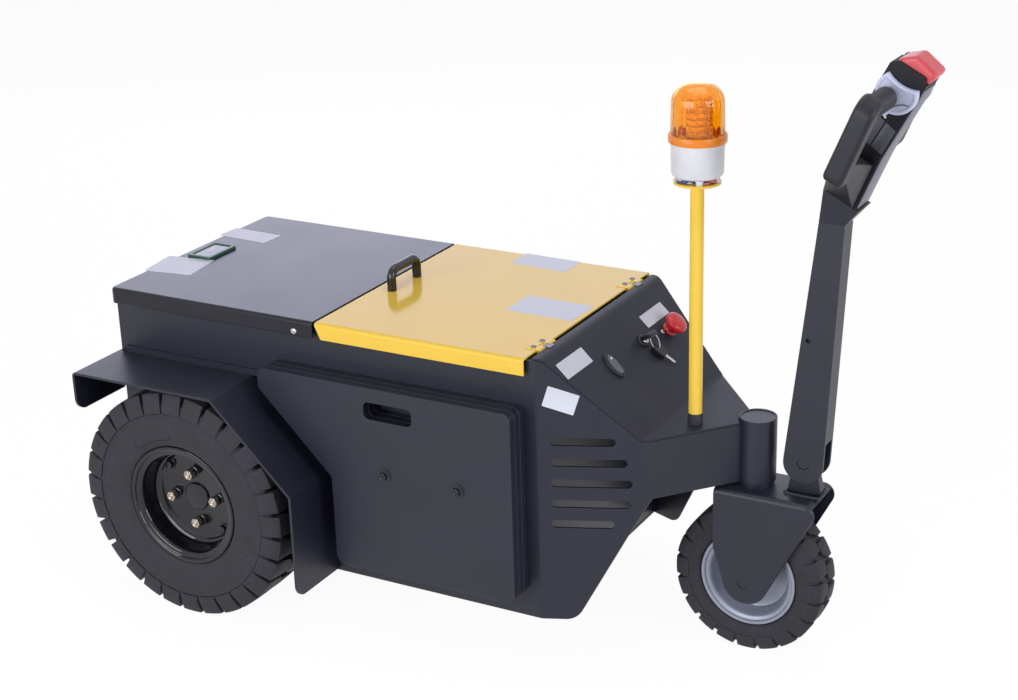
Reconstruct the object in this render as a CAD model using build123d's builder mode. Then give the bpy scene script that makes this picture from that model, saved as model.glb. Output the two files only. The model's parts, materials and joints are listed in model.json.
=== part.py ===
from build123d import *
import os
from math import asin, atan2, cos, degrees, pi, radians, sin, sqrt, tan

# Electric pedestrian tow tractor, millimetres.
# X runs forward to the tiller, Y to the left, Z up, with the origin on the ground
# under the middle of the overall length.

# Layout of the whole machine
BODY_LENGTH = 941.0
BODY_REAR_OVERHANG = 224.0  # rear axle back to the body's rear panel
NOSE_REACH = 323.0  # front seam of the body forward to the steering axis
JAW_REACH = 106.0  # body's rear panel back to the lip of the tow jaw
HEAD_REACH = 305.0  # steering axis forward to the front of the tiller head
WHEELBASE = BODY_LENGTH - BODY_REAR_OVERHANG + NOSE_REACH
REAR_AXLE_X = (BODY_REAR_OVERHANG + JAW_REACH - WHEELBASE - HEAD_REACH) / 2
STEER_X = REAR_AXLE_X + WHEELBASE

# Half width of the body box, which the wheels, covers and battery follow
BODY_HALF = 252.0

# Clearances
SEAT_GAP = 0.3  # a piece resting on its seat
RUN_GAP = 0.05  # radial, a shaft in its bore

# Rear wheels, solid 5.00-8 tyres
REAR_TYRE_R = 232.5
REAR_TYRE_HALF = 63.0
TYRE_BODY_GAP = 11.0
REAR_TRACK_HALF = BODY_HALF + TYRE_BODY_GAP + REAR_TYRE_HALF
REAR_LUGS = 26  # a side
REAR_LUG_GAP = 13.0
REAR_LUG_DEPTH = 25.0
REAR_SHOULDER = 14.0  # slope at each lug's outer end
REAR_FLANGE_R = 122.0
REAR_FLANGE_INSET = 6.0  # from the widest sidewall in to the rim's flange
REAR_FLANGE_HALF = REAR_TYRE_HALF - REAR_FLANGE_INSET
REAR_BEAD_R = 104.0
RIM_SHEET = 6.0
RIM_LIP = 8.0  # flat edge of the flange
RIM_STEP = 4.0
RIM_WALL = 3.0
REAR_DISC_RECESS = 50.0  # from the outer flange in to the wheel disc
REAR_DISC_SHEET = 8.0
HUB_R = 44.0
HUB_CAP_R = 27.5
HUB_CAP_PROUD = 3.0
STUD_CIRCLE_R = 53.0
STUD_COUNT = 4
STUD_TURN = 22.5  # degrees from level to the first stud
STUD_R = 9.0
STUD_LENGTH = 26.0
NUT_R = 11.5
NUT_HEIGHT = 11.0

# Front wheel
FRONT_TYRE_R = 146.0
FRONT_TYRE_HALF = 43.0
FRONT_LUGS = 20  # a side
FRONT_LUG_GAP = 10.0
FRONT_LUG_DEPTH = 14.0
FRONT_SHOULDER = 8.0
SIDEWALL_EDGE = 6.0  # from the floor of the tread in to the hollow of the sidewall
SIDEWALL_FOOT = 1.0  # hollow of the sidewall clears the rim's flange
FRONT_FLANGE_R = 94.0
FRONT_FLANGE_HALF = 38.0
FRONT_BEAD_R = 80.0
FRONT_HUB_R = 28.0
FRONT_AXLE_R = 11.0
AXLE_RECESS = 1.5  # pin ends below the faces they pass

# Body box of flat panels
BODY_WALL = 5.0
BODY_BOTTOM = 92.0
FLOOR_SHEET = 6.0

# Covers over the body
COVER_TOP = 610.0
COVER_LIP = 32.0
COVER_SHEET = 4.0
COVER_SIDE_OVER = 12.0
COVER_REAR_OVERHANG = 6.0
COVER_JOINT = 253.0  # joint of the two covers, ahead of the rear axle
COVER_SEAM_GAP = 18.0  # from the battery cover's front edge to the body's seam
COVER_LIP_CUT = 13.0  # slant at the rear end of the battery cover's lips
COVER_GAP = 5.0
COVER_CORNER_R = 14.0
COVER_EDGE_R = 7.0

# Handle and hinges of the battery cover
HANDLE_LENGTH = 110.0
HANDLE_HEIGHT = 50.0
HANDLE_BAR_R = 9.0
HANDLE_BEND_R = 17.0
HANDLE_SETBACK = 38.0  # ahead of the joint of the covers
HINGE_R = 4.0
HINGE_PIN_R = 1.8
HINGE_INSET = 80.0  # from the cover's side to each hinge's middle
HINGE_LEAF = 60.0
HINGE_KNUCKLE = 18.0
HINGE_SHEET = 1.6
HINGE_LEAF_DEPTH = 26.0

# Battery gauge on the rear cover
GAUGE_LENGTH = 58.0
GAUGE_WIDTH = 92.0
GAUGE_HEIGHT = 6.0
GAUGE_FRAME = 9.0
GAUGE_RECESS = 2.0
GAUGE_CORNER_R = 4.0
GAUGE_EDGE = 1.0
GAUGE_SETBACK = 52.0  # from the cover's rear edge to the gauge's middle

# Fenders of bent sheet
FENDER_SHEET = 5.0
FENDER_WIDTH = 142.0
FENDER_TOP_GAP = 7.0  # over the tyre
FENDER_SLOPE_GAP = 6.1
FENDER_FRONT_GAP = 31.5
FENDER_BACK = 231.0  # behind the rear axle
FENDER_BACK_DROP = 82.0
FENDER_FRONT_LOW = 97.0
FENDER_BEND_R = 9.0
FENDER_TIP_R = 26.0
FENDER_RAIL_HEIGHT = 12.0  # flat bar along the body over the fender
FENDER_RAIL_SHEET = 6.0
FENDER_RAIL_INSET = 26.0

# Stacked weight plates on the body sides
PLATE_COUNT = 3
PLATE_SHEET = 17.7
PLATE_GAP = 0.4
PLATE_BACK_EDGE = 40.0  # upright edge at the top rear corner
PLATE_SEAM_GAP = 25.0
PLATE_TOP = 518.0
PLATE_BOTTOM = 143.0
PLATE_FENDER_GAP = 34.0
PLATE_CORNER_R = 16.0
PLATE_SLOT_LENGTH = 103.0
PLATE_SLOT_HEIGHT = 34.0
PLATE_SLOT_R = 11.0
PLATE_SLOT_BACK = 257.0  # behind the plates' front edge
PLATE_SLOT_DROP = 45.0
LEDGE_SHEET = 8.0  # bar that the plates stand on
LEDGE_REACH = 46.0
LEDGE_INSET = 20.0

# Battery, drive motor and drive axle
BATTERY_END_GAP = 19.5
BATTERY_SIDE_GAP = 17.0
BATTERY_HEAD_ROOM = 77.7
BATTERY_EDGE_R = 8.0
AXLE_TUBE_R = 40.0
AXLE_TUBE_PROUD = 4.0  # past the body side
DIFF_R = 86.0
DIFF_HALF = 95.0
STUB_R = 20.0
MOTOR_R = 74.0
MOTOR_LENGTH = 240.0

# Tow jaw on the rear panel
JAW_WIDTH = 90.0
JAW_SHEET = 14.0
JAW_OPENING = 56.0
JAW_Z = 300.0
JAW_BORE_R = 13.0
JAW_BORE_SETBACK = 42.0  # from the lip in to the bore
JAW_BASE_SHEET = 12.0
JAW_BASE_WIDTH = 150.0
JAW_BASE_HEIGHT = 150.0

# Nose panels
NOSE_SHEET = 5.0
NOSE_FOLD = 174.0  # fold of the side panel, ahead of the seam
NOSE_FOLD_HALF = 180.0
NOSE_TIP_END = 61.0
NOSE_SLANT_END = 186.0
NOSE_TIP_R = 30.0
CONSOLE_SHEET = 4.0
CONSOLE_BEND = 10.0  # ahead of the seam
CONSOLE_SLOPE_END = 176.0
CONSOLE_LOW = 455.0
CONSOLE_BEND_R = 24.0
LOUVRE_COUNT = 5
LOUVRE_PITCH = 40.8
LOUVRE_LOW_Z = 288.0
LOUVRE_HEIGHT = 15.5
LOUVRE_START = 23.0  # along the panel from its seam
LOUVRE_ENDS = (138.0, 168.0, 171.0, 162.0, 141.0)  # along the panel, lowest first

# Controls on the console, each placed across it (to the left) and ahead of its upper bend
STOP_ACROSS = 140.0
STOP_AHEAD = 70.0
STOP_NECK_R = 13.0
STOP_NECK_HEIGHT = 17.0
STOP_NECK_TAPER = 8.0
STOP_HEAD_R = 21.0
STOP_HEAD_HEIGHT = 14.0
STOP_HEAD_EDGE_R = 6.3
KEY_ACROSS = 42.0
KEY_AHEAD = 61.0
KEY_BEZEL_R = 13.0
KEY_BEZEL_HEIGHT = 6.0
KEY_BEZEL_TAPER = 12.0
KEY_BARREL_R = 8.5
KEY_BARREL_HEIGHT = 10.0
KEY_BOW_WIDTH = 24.0
KEY_BOW_HEIGHT = 20.0
KEY_BOW_SHEET = 7.0
ROCKER_ACROSS = -90.0
ROCKER_AHEAD = 64.0
ROCKER_LONG_R = 27.0
ROCKER_SHORT_R = 15.5
ROCKER_BEZEL_HEIGHT = 5.0
ROCKER_PAD_INSET = 4.0
ROCKER_PAD_HEIGHT = 4.0

# Warning beacon on its pole
POLE_AHEAD = 49.0  # ahead of the console's lower bend
POLE_ACROSS = -62.0
POLE_R = 12.5
POLE_TOP = 912.0
POLE_PLATE_R = 42.0
POLE_PLATE_SHEET = 4.0
SOCKET_R = 14.0
SOCKET_HEIGHT = 21.0
BEACON_FOOT_R = 5.0
BEACON_FOOT_HEIGHT = 9.0
BEACON_FOOT_SPREAD = 28.0
BEACON_FEET = 3
BEACON_BASE_R = 48.0
BEACON_BASE_LOW_R = 46.0
BEACON_BASE_HEIGHT = 61.0
BEACON_BASE_EDGE_R = 9.0
BEACON_RING_R = 51.5
BEACON_RING_HEIGHT = 15.0
DOME_R = 47.5
DOME_TOP_R = 46.0
DOME_HEIGHT = 87.5
DOME_EDGE_R = 33.0
DOME_SHEET = 3.0
LAMP_R = 24.0
LAMP_HEIGHT = 80.0

# Head tube, kingpin and fork
HEAD_R = 35.0
HEAD_PROUD = 8.0  # above the console
HEAD_FORK_GAP = 8.0
HEAD_RECESS = 2.0
HEAD_RIM = 4.0
HEAD_ROOF = 6.0
KINGPIN_R = 20.0
THRUST_R = 32.0
FORK_SHEET = 8.0
FORK_TYRE_RISE = 30.0  # over the tyre's top
FORK_TYRE_GAP = 9.0  # beside the tyre
FORK_HUB_GAP = 6.0
FORK_TOP = 2 * FRONT_TYRE_R + FORK_TYRE_RISE + FORK_SHEET
FORK_HALF = FRONT_TYRE_HALF + FORK_TYRE_GAP + FORK_SHEET
FRONT_HUB_HALF = FORK_HALF - FORK_SHEET - FORK_HUB_GAP
FORK_BACK = 62.0
FORK_FRONT = 133.0
FORK_FOOT_R = 45.0
FORK_NOSE_R = 22.0
FORK_BACK_DEPTH = 134.0
FORK_BEND_R = 10.0

# Tiller pivot and arm
TILLER_PIVOT_AHEAD = 96.0  # ahead of the steering axis
TILLER_PIVOT_RISE = 63.0  # above the fork
PIVOT_PIN_R = 11.0
EAR_HALF = 10.0
EAR_R = 20.0
EAR_FOOT = 62.0
TILLER_HALF = 22.0
TILLER_FOOT_R = 38.0
TILLER_SLOT_HALF = 15.2
TILLER_SLOT_BACK = 31.0
TILLER_SLOT_RISE = 42.0
TILLER_LENGTH = 457.0
TILLER_HOLE_R = 4.5
TILLER_HOLE_DEPTH = 6.0
TILLER_HOLE_RISE = 239.0  # above the pivot
TILLER_HOLE_AHEAD = 3.0
TILLER_TOP_BACK = 15.0  # rear edge of the arm's top, ahead of the pivot
TILLER_TOP_DEPTH = 47.0
TILLER_EDGE_R = 6.0
COLLAR_HALF = 33.0  # at its top
COLLAR_FRONT_PROUD = 6.0  # past the head's front band

# Tiller head, along its own leaning axis
HEAD_LEAN = 28.0
HEAD_BASE_AHEAD = 51.0  # middle of the head's base, ahead of the pivot
HEAD_BASE_RISE = 51.0  # above the arm's top
HEAD_HALF = 165.0
HEAD_BASE_BACK = -29.0
HEAD_BASE_DEPTH = 35.0
HEAD_BASE_HEIGHT = 54.0
HEAD_ARM = 38.0
HEAD_ARM_DEPTH = 37.0
HEAD_ARM_TOP = 224.0
HEAD_ARM_LOW = 68.0
HEAD_ARM_TOP_BACK = -34.0  # an arm leans back from its foot to its shoulder
HEAD_ARM_LOW_BACK = -20.0
HEAD_SHOULDER_R = 30.0
HEAD_ELBOW_R = 14.0
HEAD_EDGE_R = 8.0
BRANCH_FRONT = 32.0  # front ridge of a branch where it leaves the base
BRANCH_HEIGHT = 87.0
BRANCH_LEAN = 8.0  # its front's fall over that height
BRANCH_END_RISE = 9.0  # its far end, above the arm's foot
BRANCH_END_HEIGHT = 35.0
BRANCH_SINK = 10.0  # its far end, inside the arm
BRANCH_INSET = 1.5
POD_HALF = 35.0
POD_BACK = -41.0
POD_FRONT = 31.0
POD_FOOT_FRONT = 37.0
POD_NECK_FRONT = 29.0
POD_NECK = 104.0
POD_TOP = 250.0
POD_WAIST = 128.0
POD_EAR_HEIGHT = 11.0
POD_EAR_R = 10.0
POD_EDGE_R = 3.0
GRIP_ALONG = 202.0
GRIP_BACK = -14.0
GRIP_R = 19.5
GRIP_RIBS = 9
GRIP_RIB_DEPTH = 2.5
WING_R = 36.5
WING_BACK = -3.0
WING_ALONG = 216.0
WING_SHEET = 12.0
WING_SCOOP_R = 62.0
WING_SCOOP_DEPTH = 21.5
WING_EDGE_R = 2.5
BUTTON_HALF = 29.0
BUTTON_BACK = -33.0
BUTTON_HEIGHT = 32.0
BUTTON_RIDGE = -9.0  # its highest line
BUTTON_FRONT_HEIGHT = 22.5
BUTTON_BACK_HEIGHT = 12.0
BUTTON_FRONT_OVER = 6.5
BUTTON_CORNER_R = 6.0
BUTTON_EDGE_R = 4.0

# Places worked out from the sizes above
BODY_TOP = COVER_TOP - COVER_SHEET - SEAT_GAP
BODY_REAR_X = REAR_AXLE_X - BODY_REAR_OVERHANG
SEAM_X = BODY_REAR_X + BODY_LENGTH
INNER_HALF = BODY_HALF - BODY_WALL
FLOOR_TOP = BODY_BOTTOM + FLOOR_SHEET
COVER_REAR_X = BODY_REAR_X - COVER_REAR_OVERHANG
JOINT_X = REAR_AXLE_X + COVER_JOINT
COVER_FRONT_X = SEAM_X - COVER_SEAM_GAP
COVER_HALF = BODY_HALF + COVER_SIDE_OVER
HINGE_SPREAD = COVER_HALF - HINGE_INSET
HINGE_X = COVER_FRONT_X + HINGE_R + SEAT_GAP
HINGE_Z = COVER_TOP + HINGE_SHEET - HINGE_R
CONSOLE_TOP = BODY_TOP + CONSOLE_SHEET
CONSOLE_REAR_X = HINGE_X + HINGE_R + SEAT_GAP
CONSOLE_BEND_X = SEAM_X + CONSOLE_BEND
CONSOLE_END_X = SEAM_X + CONSOLE_SLOPE_END
FOLD_X = SEAM_X + NOSE_FOLD
POLE_X = CONSOLE_END_X + POLE_AHEAD
HEAD_LOW = FORK_TOP + HEAD_FORK_GAP
HEAD_TOP = CONSOLE_LOW + HEAD_PROUD
TILLER_PIVOT_Z = FORK_TOP + TILLER_PIVOT_RISE
TILLER_TOP = TILLER_PIVOT_Z + TILLER_LENGTH
FENDER_TOP = 2 * REAR_TYRE_R + FENDER_TOP_GAP + FENDER_SHEET
FENDER_FRONT = REAR_TYRE_R + FENDER_FRONT_GAP + FENDER_SHEET
FENDER_SLOPE_SUM = REAR_TYRE_R + sqrt(2) * (REAR_TYRE_R + FENDER_SLOPE_GAP + FENDER_SHEET)
FENDER_FLAT_END = FENDER_SLOPE_SUM - FENDER_TOP
PLATE_FRONT_X = SEAM_X - PLATE_SEAM_GAP
PLATE_SLOPE_SUM = FENDER_SLOPE_SUM + sqrt(2) * PLATE_FENDER_GAP
PLATE_LOW_BACK_X = REAR_AXLE_X + FENDER_FRONT + PLATE_FENDER_GAP
PLATE_BACK_X = REAR_AXLE_X + PLATE_SLOPE_SUM - PLATE_TOP + PLATE_BACK_EDGE
PIVOT_X = STEER_X + TILLER_PIVOT_AHEAD
HUB_REACH = REAR_TRACK_HALF + REAR_FLANGE_HALF - REAR_DISC_RECESS

os.makedirs("parts", exist_ok=True)


def write(piece, label):
    """Label a finished piece and write its STEP file."""
    piece.part.label = label
    export_step(piece.part, f"parts/{label}.step")


# Body side panels, with the hole that the axle tube passes and a ledge under the weight plates
with BuildPart() as body_side_right:
    with BuildSketch(Plane.XZ.offset(INNER_HALF)):
        with Locations(((BODY_REAR_X + SEAM_X) / 2, (BODY_BOTTOM + BODY_TOP) / 2)):
            Rectangle(BODY_LENGTH, BODY_TOP - BODY_BOTTOM)
        with Locations((REAR_AXLE_X, REAR_TYRE_R)):
            Circle(AXLE_TUBE_R + SEAT_GAP, mode=Mode.SUBTRACT)
    extrude(amount=BODY_WALL)
    with BuildSketch(Plane.XZ.offset(BODY_HALF)):
        with Locations(((PLATE_LOW_BACK_X + PLATE_FRONT_X) / 2, PLATE_BOTTOM - SEAT_GAP - LEDGE_SHEET / 2)):
            Rectangle(PLATE_FRONT_X - PLATE_LOW_BACK_X - 2 * LEDGE_INSET, LEDGE_SHEET)
    extrude(amount=LEDGE_REACH)

with BuildPart() as body_side_left:
    mirror(body_side_right.part, about=Plane.XZ)

# Floor between the side panels
with BuildPart() as body_floor:
    with BuildSketch(Plane.XY.offset(BODY_BOTTOM)):
        with Locations(((BODY_REAR_X + SEAM_X) / 2, 0)):
            Rectangle(BODY_LENGTH, 2 * INNER_HALF)
    extrude(amount=FLOOR_SHEET)

# Rear panel and the bulkhead in front of the battery
with BuildPart() as body_rear_panel:
    with BuildSketch(Plane.YZ.offset(BODY_REAR_X)):
        with Locations((0, (FLOOR_TOP + BODY_TOP) / 2)):
            Rectangle(2 * INNER_HALF, BODY_TOP - FLOOR_TOP)
    extrude(amount=BODY_WALL)

with BuildPart() as front_bulkhead:
    with BuildSketch(Plane.YZ.offset(SEAM_X - BODY_WALL)):
        with Locations((0, (FLOOR_TOP + BODY_TOP) / 2)):
            Rectangle(2 * INNER_HALF, BODY_TOP - FLOOR_TOP)
    extrude(amount=BODY_WALL)

# Rear cover, a tray with lips at the back and sides
rear_cover_front = JOINT_X - COVER_GAP / 2
rear_cover_length = rear_cover_front - COVER_REAR_X
with BuildPart() as rear_cover:
    with BuildSketch(Plane.XY.offset(COVER_TOP - COVER_LIP)):
        with Locations((COVER_REAR_X + rear_cover_length / 2, 0)):
            Rectangle(rear_cover_length, 2 * COVER_HALF)
    extrude(amount=COVER_LIP)
    fillet(rear_cover.edges().filter_by(Axis.Z).group_by(Axis.X)[0], radius=COVER_CORNER_R)
    fillet(rear_cover.faces().sort_by(Axis.Z)[-1].edges().sort_by(Axis.X)[:-1], radius=COVER_EDGE_R)
    with BuildSketch(Plane.XY.offset(COVER_TOP - COVER_LIP)):
        with Locations((COVER_REAR_X + COVER_SHEET + rear_cover_length / 2 + COVER_CORNER_R, 0)):
            RectangleRounded(
                rear_cover_length + 2 * COVER_CORNER_R,
                2 * (COVER_HALF - COVER_SHEET),
                COVER_CORNER_R - COVER_SHEET,
            )
    extrude(amount=COVER_LIP - COVER_SHEET, mode=Mode.SUBTRACT)

# Battery gauge, a framed panel set on the rear cover
gauge_x = COVER_REAR_X + GAUGE_SETBACK
with BuildPart() as charge_gauge:
    with BuildSketch(Plane.XY.offset(COVER_TOP)):
        with Locations((gauge_x, 0)):
            RectangleRounded(GAUGE_LENGTH, GAUGE_WIDTH, GAUGE_CORNER_R)
    extrude(amount=GAUGE_HEIGHT)
    chamfer(charge_gauge.faces().sort_by(Axis.Z)[-1].edges(), length=GAUGE_EDGE)
    with BuildSketch(Plane.XY.offset(COVER_TOP + GAUGE_HEIGHT)):
        with Locations((gauge_x, 0)):
            Rectangle(GAUGE_LENGTH - 2 * GAUGE_FRAME, GAUGE_WIDTH - 2 * GAUGE_FRAME)
    extrude(amount=-GAUGE_RECESS, mode=Mode.SUBTRACT)

# Battery cover, a channel with side lips that slant at the rear end
battery_cover_rear = JOINT_X + COVER_GAP / 2
battery_cover_length = COVER_FRONT_X - battery_cover_rear
with BuildPart() as battery_cover:
    with BuildSketch(Plane.XY.offset(COVER_TOP - COVER_LIP)):
        with Locations((battery_cover_rear + battery_cover_length / 2, 0)):
            Rectangle(battery_cover_length, 2 * COVER_HALF)
            Rectangle(battery_cover_length, 2 * (COVER_HALF - COVER_SHEET), mode=Mode.SUBTRACT)
    extrude(amount=COVER_LIP)
    with BuildSketch(Plane.XY.offset(COVER_TOP - COVER_SHEET)):
        with Locations((battery_cover_rear + battery_cover_length / 2, 0)):
            Rectangle(battery_cover_length, 2 * COVER_HALF)
    extrude(amount=COVER_SHEET)
    fillet(
        battery_cover.faces().sort_by(Axis.Z)[-1].edges().filter_by(Axis.X),
        radius=COVER_EDGE_R,
    )
    with BuildSketch(Plane.XZ):
        with BuildLine():
            Polyline(
                (battery_cover_rear, COVER_TOP - COVER_SHEET),
                (battery_cover_rear + COVER_LIP_CUT, COVER_TOP - COVER_LIP),
                (battery_cover_rear, COVER_TOP - COVER_LIP),
                close=True,
            )
        make_face()
    extrude(amount=COVER_HALF, both=True, mode=Mode.SUBTRACT)

# Lifting handle of bent round bar
handle_x = JOINT_X + HANDLE_SETBACK
handle_foot = HANDLE_LENGTH / 2 - HANDLE_BAR_R
handle_bar_z = COVER_TOP + HANDLE_HEIGHT - HANDLE_BAR_R
with BuildPart() as cover_handle:
    with BuildLine(Plane.YZ.offset(handle_x)) as handle_path:
        FilletPolyline(
            (-handle_foot, COVER_TOP),
            (-handle_foot, handle_bar_z),
            (handle_foot, handle_bar_z),
            (handle_foot, COVER_TOP),
            radius=HANDLE_BEND_R,
        )
    with BuildSketch(Plane.XY.offset(COVER_TOP)):
        with Locations((handle_x, -handle_foot)):
            Circle(HANDLE_BAR_R)
    sweep(path=handle_path.wires()[0])

# Hinges of the battery cover: the leaf with outer knuckles swings, the middle knuckle and pin stay
outer_knuckle = (HINGE_LEAF - HINGE_KNUCKLE) / 2 - SEAT_GAP
outer_knuckle_y = (HINGE_KNUCKLE + outer_knuckle) / 2 + SEAT_GAP
with BuildPart() as cover_hinges:
    for side in (-1, 1):
        for end in (-1, 1):
            knuckle_y = side * HINGE_SPREAD + end * outer_knuckle_y
            with BuildSketch(Plane.XZ.offset(-knuckle_y)):
                with Locations((HINGE_X, HINGE_Z)):
                    Circle(HINGE_R)
                with Locations((HINGE_X - HINGE_LEAF_DEPTH / 2, COVER_TOP + HINGE_SHEET / 2)):
                    Rectangle(HINGE_LEAF_DEPTH, HINGE_SHEET)
                with Locations((HINGE_X, HINGE_Z)):
                    Circle(HINGE_PIN_R + RUN_GAP, mode=Mode.SUBTRACT)
            extrude(amount=outer_knuckle / 2, both=True)
        with Locations(
            (
                COVER_FRONT_X - HINGE_LEAF_DEPTH / 2,
                side * HINGE_SPREAD,
                COVER_TOP + HINGE_SHEET / 2,
            )
        ):
            Box(HINGE_LEAF_DEPTH / 2, HINGE_LEAF, HINGE_SHEET)

with BuildPart() as hinge_pins:
    for side in (-1, 1):
        with BuildSketch(Plane.XZ.offset(-side * HINGE_SPREAD)):
            with Locations((HINGE_X, HINGE_Z)):
                Circle(HINGE_R)
            with Locations((HINGE_X + HINGE_LEAF_DEPTH / 4, CONSOLE_TOP + HINGE_SHEET / 2)):
                Rectangle(HINGE_LEAF_DEPTH / 2, HINGE_SHEET)
        extrude(amount=HINGE_KNUCKLE / 2, both=True)
        with BuildSketch(Plane.XZ.offset(-side * HINGE_SPREAD)):
            with Locations((HINGE_X, HINGE_Z)):
                Circle(HINGE_PIN_R)
        extrude(amount=HINGE_LEAF / 2, both=True)

# Fenders: one sheet bent over each rear tyre, with a flat bar along the body
with BuildPart() as fender_right:
    with BuildSketch(Plane.XZ.offset(BODY_HALF)):
        with BuildLine():
            FilletPolyline(
                (REAR_AXLE_X - FENDER_BACK, FENDER_TOP - FENDER_BACK_DROP),
                (REAR_AXLE_X - FENDER_BACK, FENDER_TOP),
                (REAR_AXLE_X + FENDER_FLAT_END, FENDER_TOP),
                (REAR_AXLE_X + FENDER_FRONT, FENDER_SLOPE_SUM - FENDER_FRONT),
                (REAR_AXLE_X + FENDER_FRONT, FENDER_FRONT_LOW),
                radius=FENDER_BEND_R,
            )
            offset(amount=FENDER_SHEET, side=Side.RIGHT)
        make_face()
    extrude(amount=FENDER_WIDTH)
    fillet(
        fender_right.edges().filter_by(Axis.X).group_by(Axis.Y)[0].sort_by(SortBy.LENGTH)[:2],
        radius=FENDER_TIP_R,
    )
    rail_back = REAR_AXLE_X - FENDER_BACK + FENDER_RAIL_INSET
    with BuildSketch(Plane.XZ.offset(BODY_HALF)):
        with Locations(((rail_back + PLATE_BACK_X - SEAT_GAP) / 2, FENDER_TOP + FENDER_RAIL_HEIGHT / 2)):
            Rectangle(PLATE_BACK_X - SEAT_GAP - rail_back, FENDER_RAIL_HEIGHT)
    extrude(amount=FENDER_RAIL_SHEET)

with BuildPart() as fender_left:
    mirror(fender_right.part, about=Plane.XZ)

# Weight plates, each cut along the fender's slope and with a hand slot
with BuildPart() as weight_plates_right:
    for layer in range(PLATE_COUNT):
        with BuildSketch(Plane.XZ.offset(BODY_HALF + layer * (PLATE_SHEET + PLATE_GAP))) as plate_face:
            with BuildLine():
                Polyline(
                    (PLATE_BACK_X, PLATE_TOP),
                    (PLATE_FRONT_X, PLATE_TOP),
                    (PLATE_FRONT_X, PLATE_BOTTOM),
                    (PLATE_LOW_BACK_X, PLATE_BOTTOM),
                    (PLATE_LOW_BACK_X, REAR_AXLE_X + PLATE_SLOPE_SUM - PLATE_LOW_BACK_X),
                    (PLATE_BACK_X, PLATE_TOP - PLATE_BACK_EDGE),
                    close=True,
                )
            make_face()
            fillet(plate_face.vertices(), radius=PLATE_CORNER_R)
            with Locations((PLATE_FRONT_X - PLATE_SLOT_BACK, PLATE_TOP - PLATE_SLOT_DROP)):
                RectangleRounded(PLATE_SLOT_LENGTH, PLATE_SLOT_HEIGHT, PLATE_SLOT_R, mode=Mode.SUBTRACT)
        extrude(amount=PLATE_SHEET)

with BuildPart() as weight_plates_left:
    mirror(weight_plates_right.part, about=Plane.XZ)

# Battery block on the floor behind the bulkhead
battery_x = (JOINT_X + SEAM_X - BODY_WALL) / 2
with BuildPart() as battery_pack:
    with Locations((battery_x, 0, (FLOOR_TOP + BODY_TOP - BATTERY_HEAD_ROOM) / 2)):
        Box(
            SEAM_X - BODY_WALL - JOINT_X - 2 * BATTERY_END_GAP,
            2 * (INNER_HALF - BATTERY_SIDE_GAP),
            BODY_TOP - BATTERY_HEAD_ROOM - FLOOR_TOP,
        )
    fillet(battery_pack.edges().filter_by(Axis.Z), radius=BATTERY_EDGE_R)

# Drive axle: gear housing, tubes through the body sides and stub shafts that carry the wheels
with BuildPart() as drive_axle:
    for radius, half in (
        (DIFF_R, DIFF_HALF),
        (AXLE_TUBE_R, BODY_HALF + AXLE_TUBE_PROUD),
        (STUB_R, HUB_REACH - SEAT_GAP),
    ):
        with BuildSketch(Plane.XZ):
            with Locations((REAR_AXLE_X, REAR_TYRE_R)):
                Circle(radius)
        extrude(amount=half, both=True)

# Drive motor against the gear housing
with BuildPart() as drive_motor:
    with BuildSketch(Plane.XZ):
        with Locations((REAR_AXLE_X + DIFF_R + MOTOR_R + SEAT_GAP, REAR_TYRE_R)):
            Circle(MOTOR_R)
    extrude(amount=MOTOR_LENGTH / 2, both=True)

# Tow jaw: two lips with one bore for a drop pin, on a base plate
jaw_lip_x = BODY_REAR_X - JAW_REACH
jaw_bore_x = jaw_lip_x + JAW_BORE_SETBACK
with BuildPart() as tow_coupling:
    with Locations((BODY_REAR_X - JAW_BASE_SHEET / 2, 0, JAW_Z)):
        Box(JAW_BASE_SHEET, JAW_BASE_WIDTH, JAW_BASE_HEIGHT)
    fillet(tow_coupling.edges().filter_by(Axis.X), radius=JAW_BASE_SHEET)
    for lip_z in (JAW_Z - JAW_OPENING / 2 - JAW_SHEET, JAW_Z + JAW_OPENING / 2):
        with BuildSketch(Plane.XY.offset(lip_z)):
            with Locations(((jaw_bore_x + BODY_REAR_X - JAW_BASE_SHEET) / 2, 0)):
                Rectangle(BODY_REAR_X - JAW_BASE_SHEET - jaw_bore_x, JAW_WIDTH)
            with Locations((jaw_bore_x, 0)):
                Circle(JAW_BORE_SETBACK)
            with Locations((jaw_bore_x, 0)):
                Circle(JAW_BORE_R, mode=Mode.SUBTRACT)
        extrude(amount=JAW_SHEET)

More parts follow.
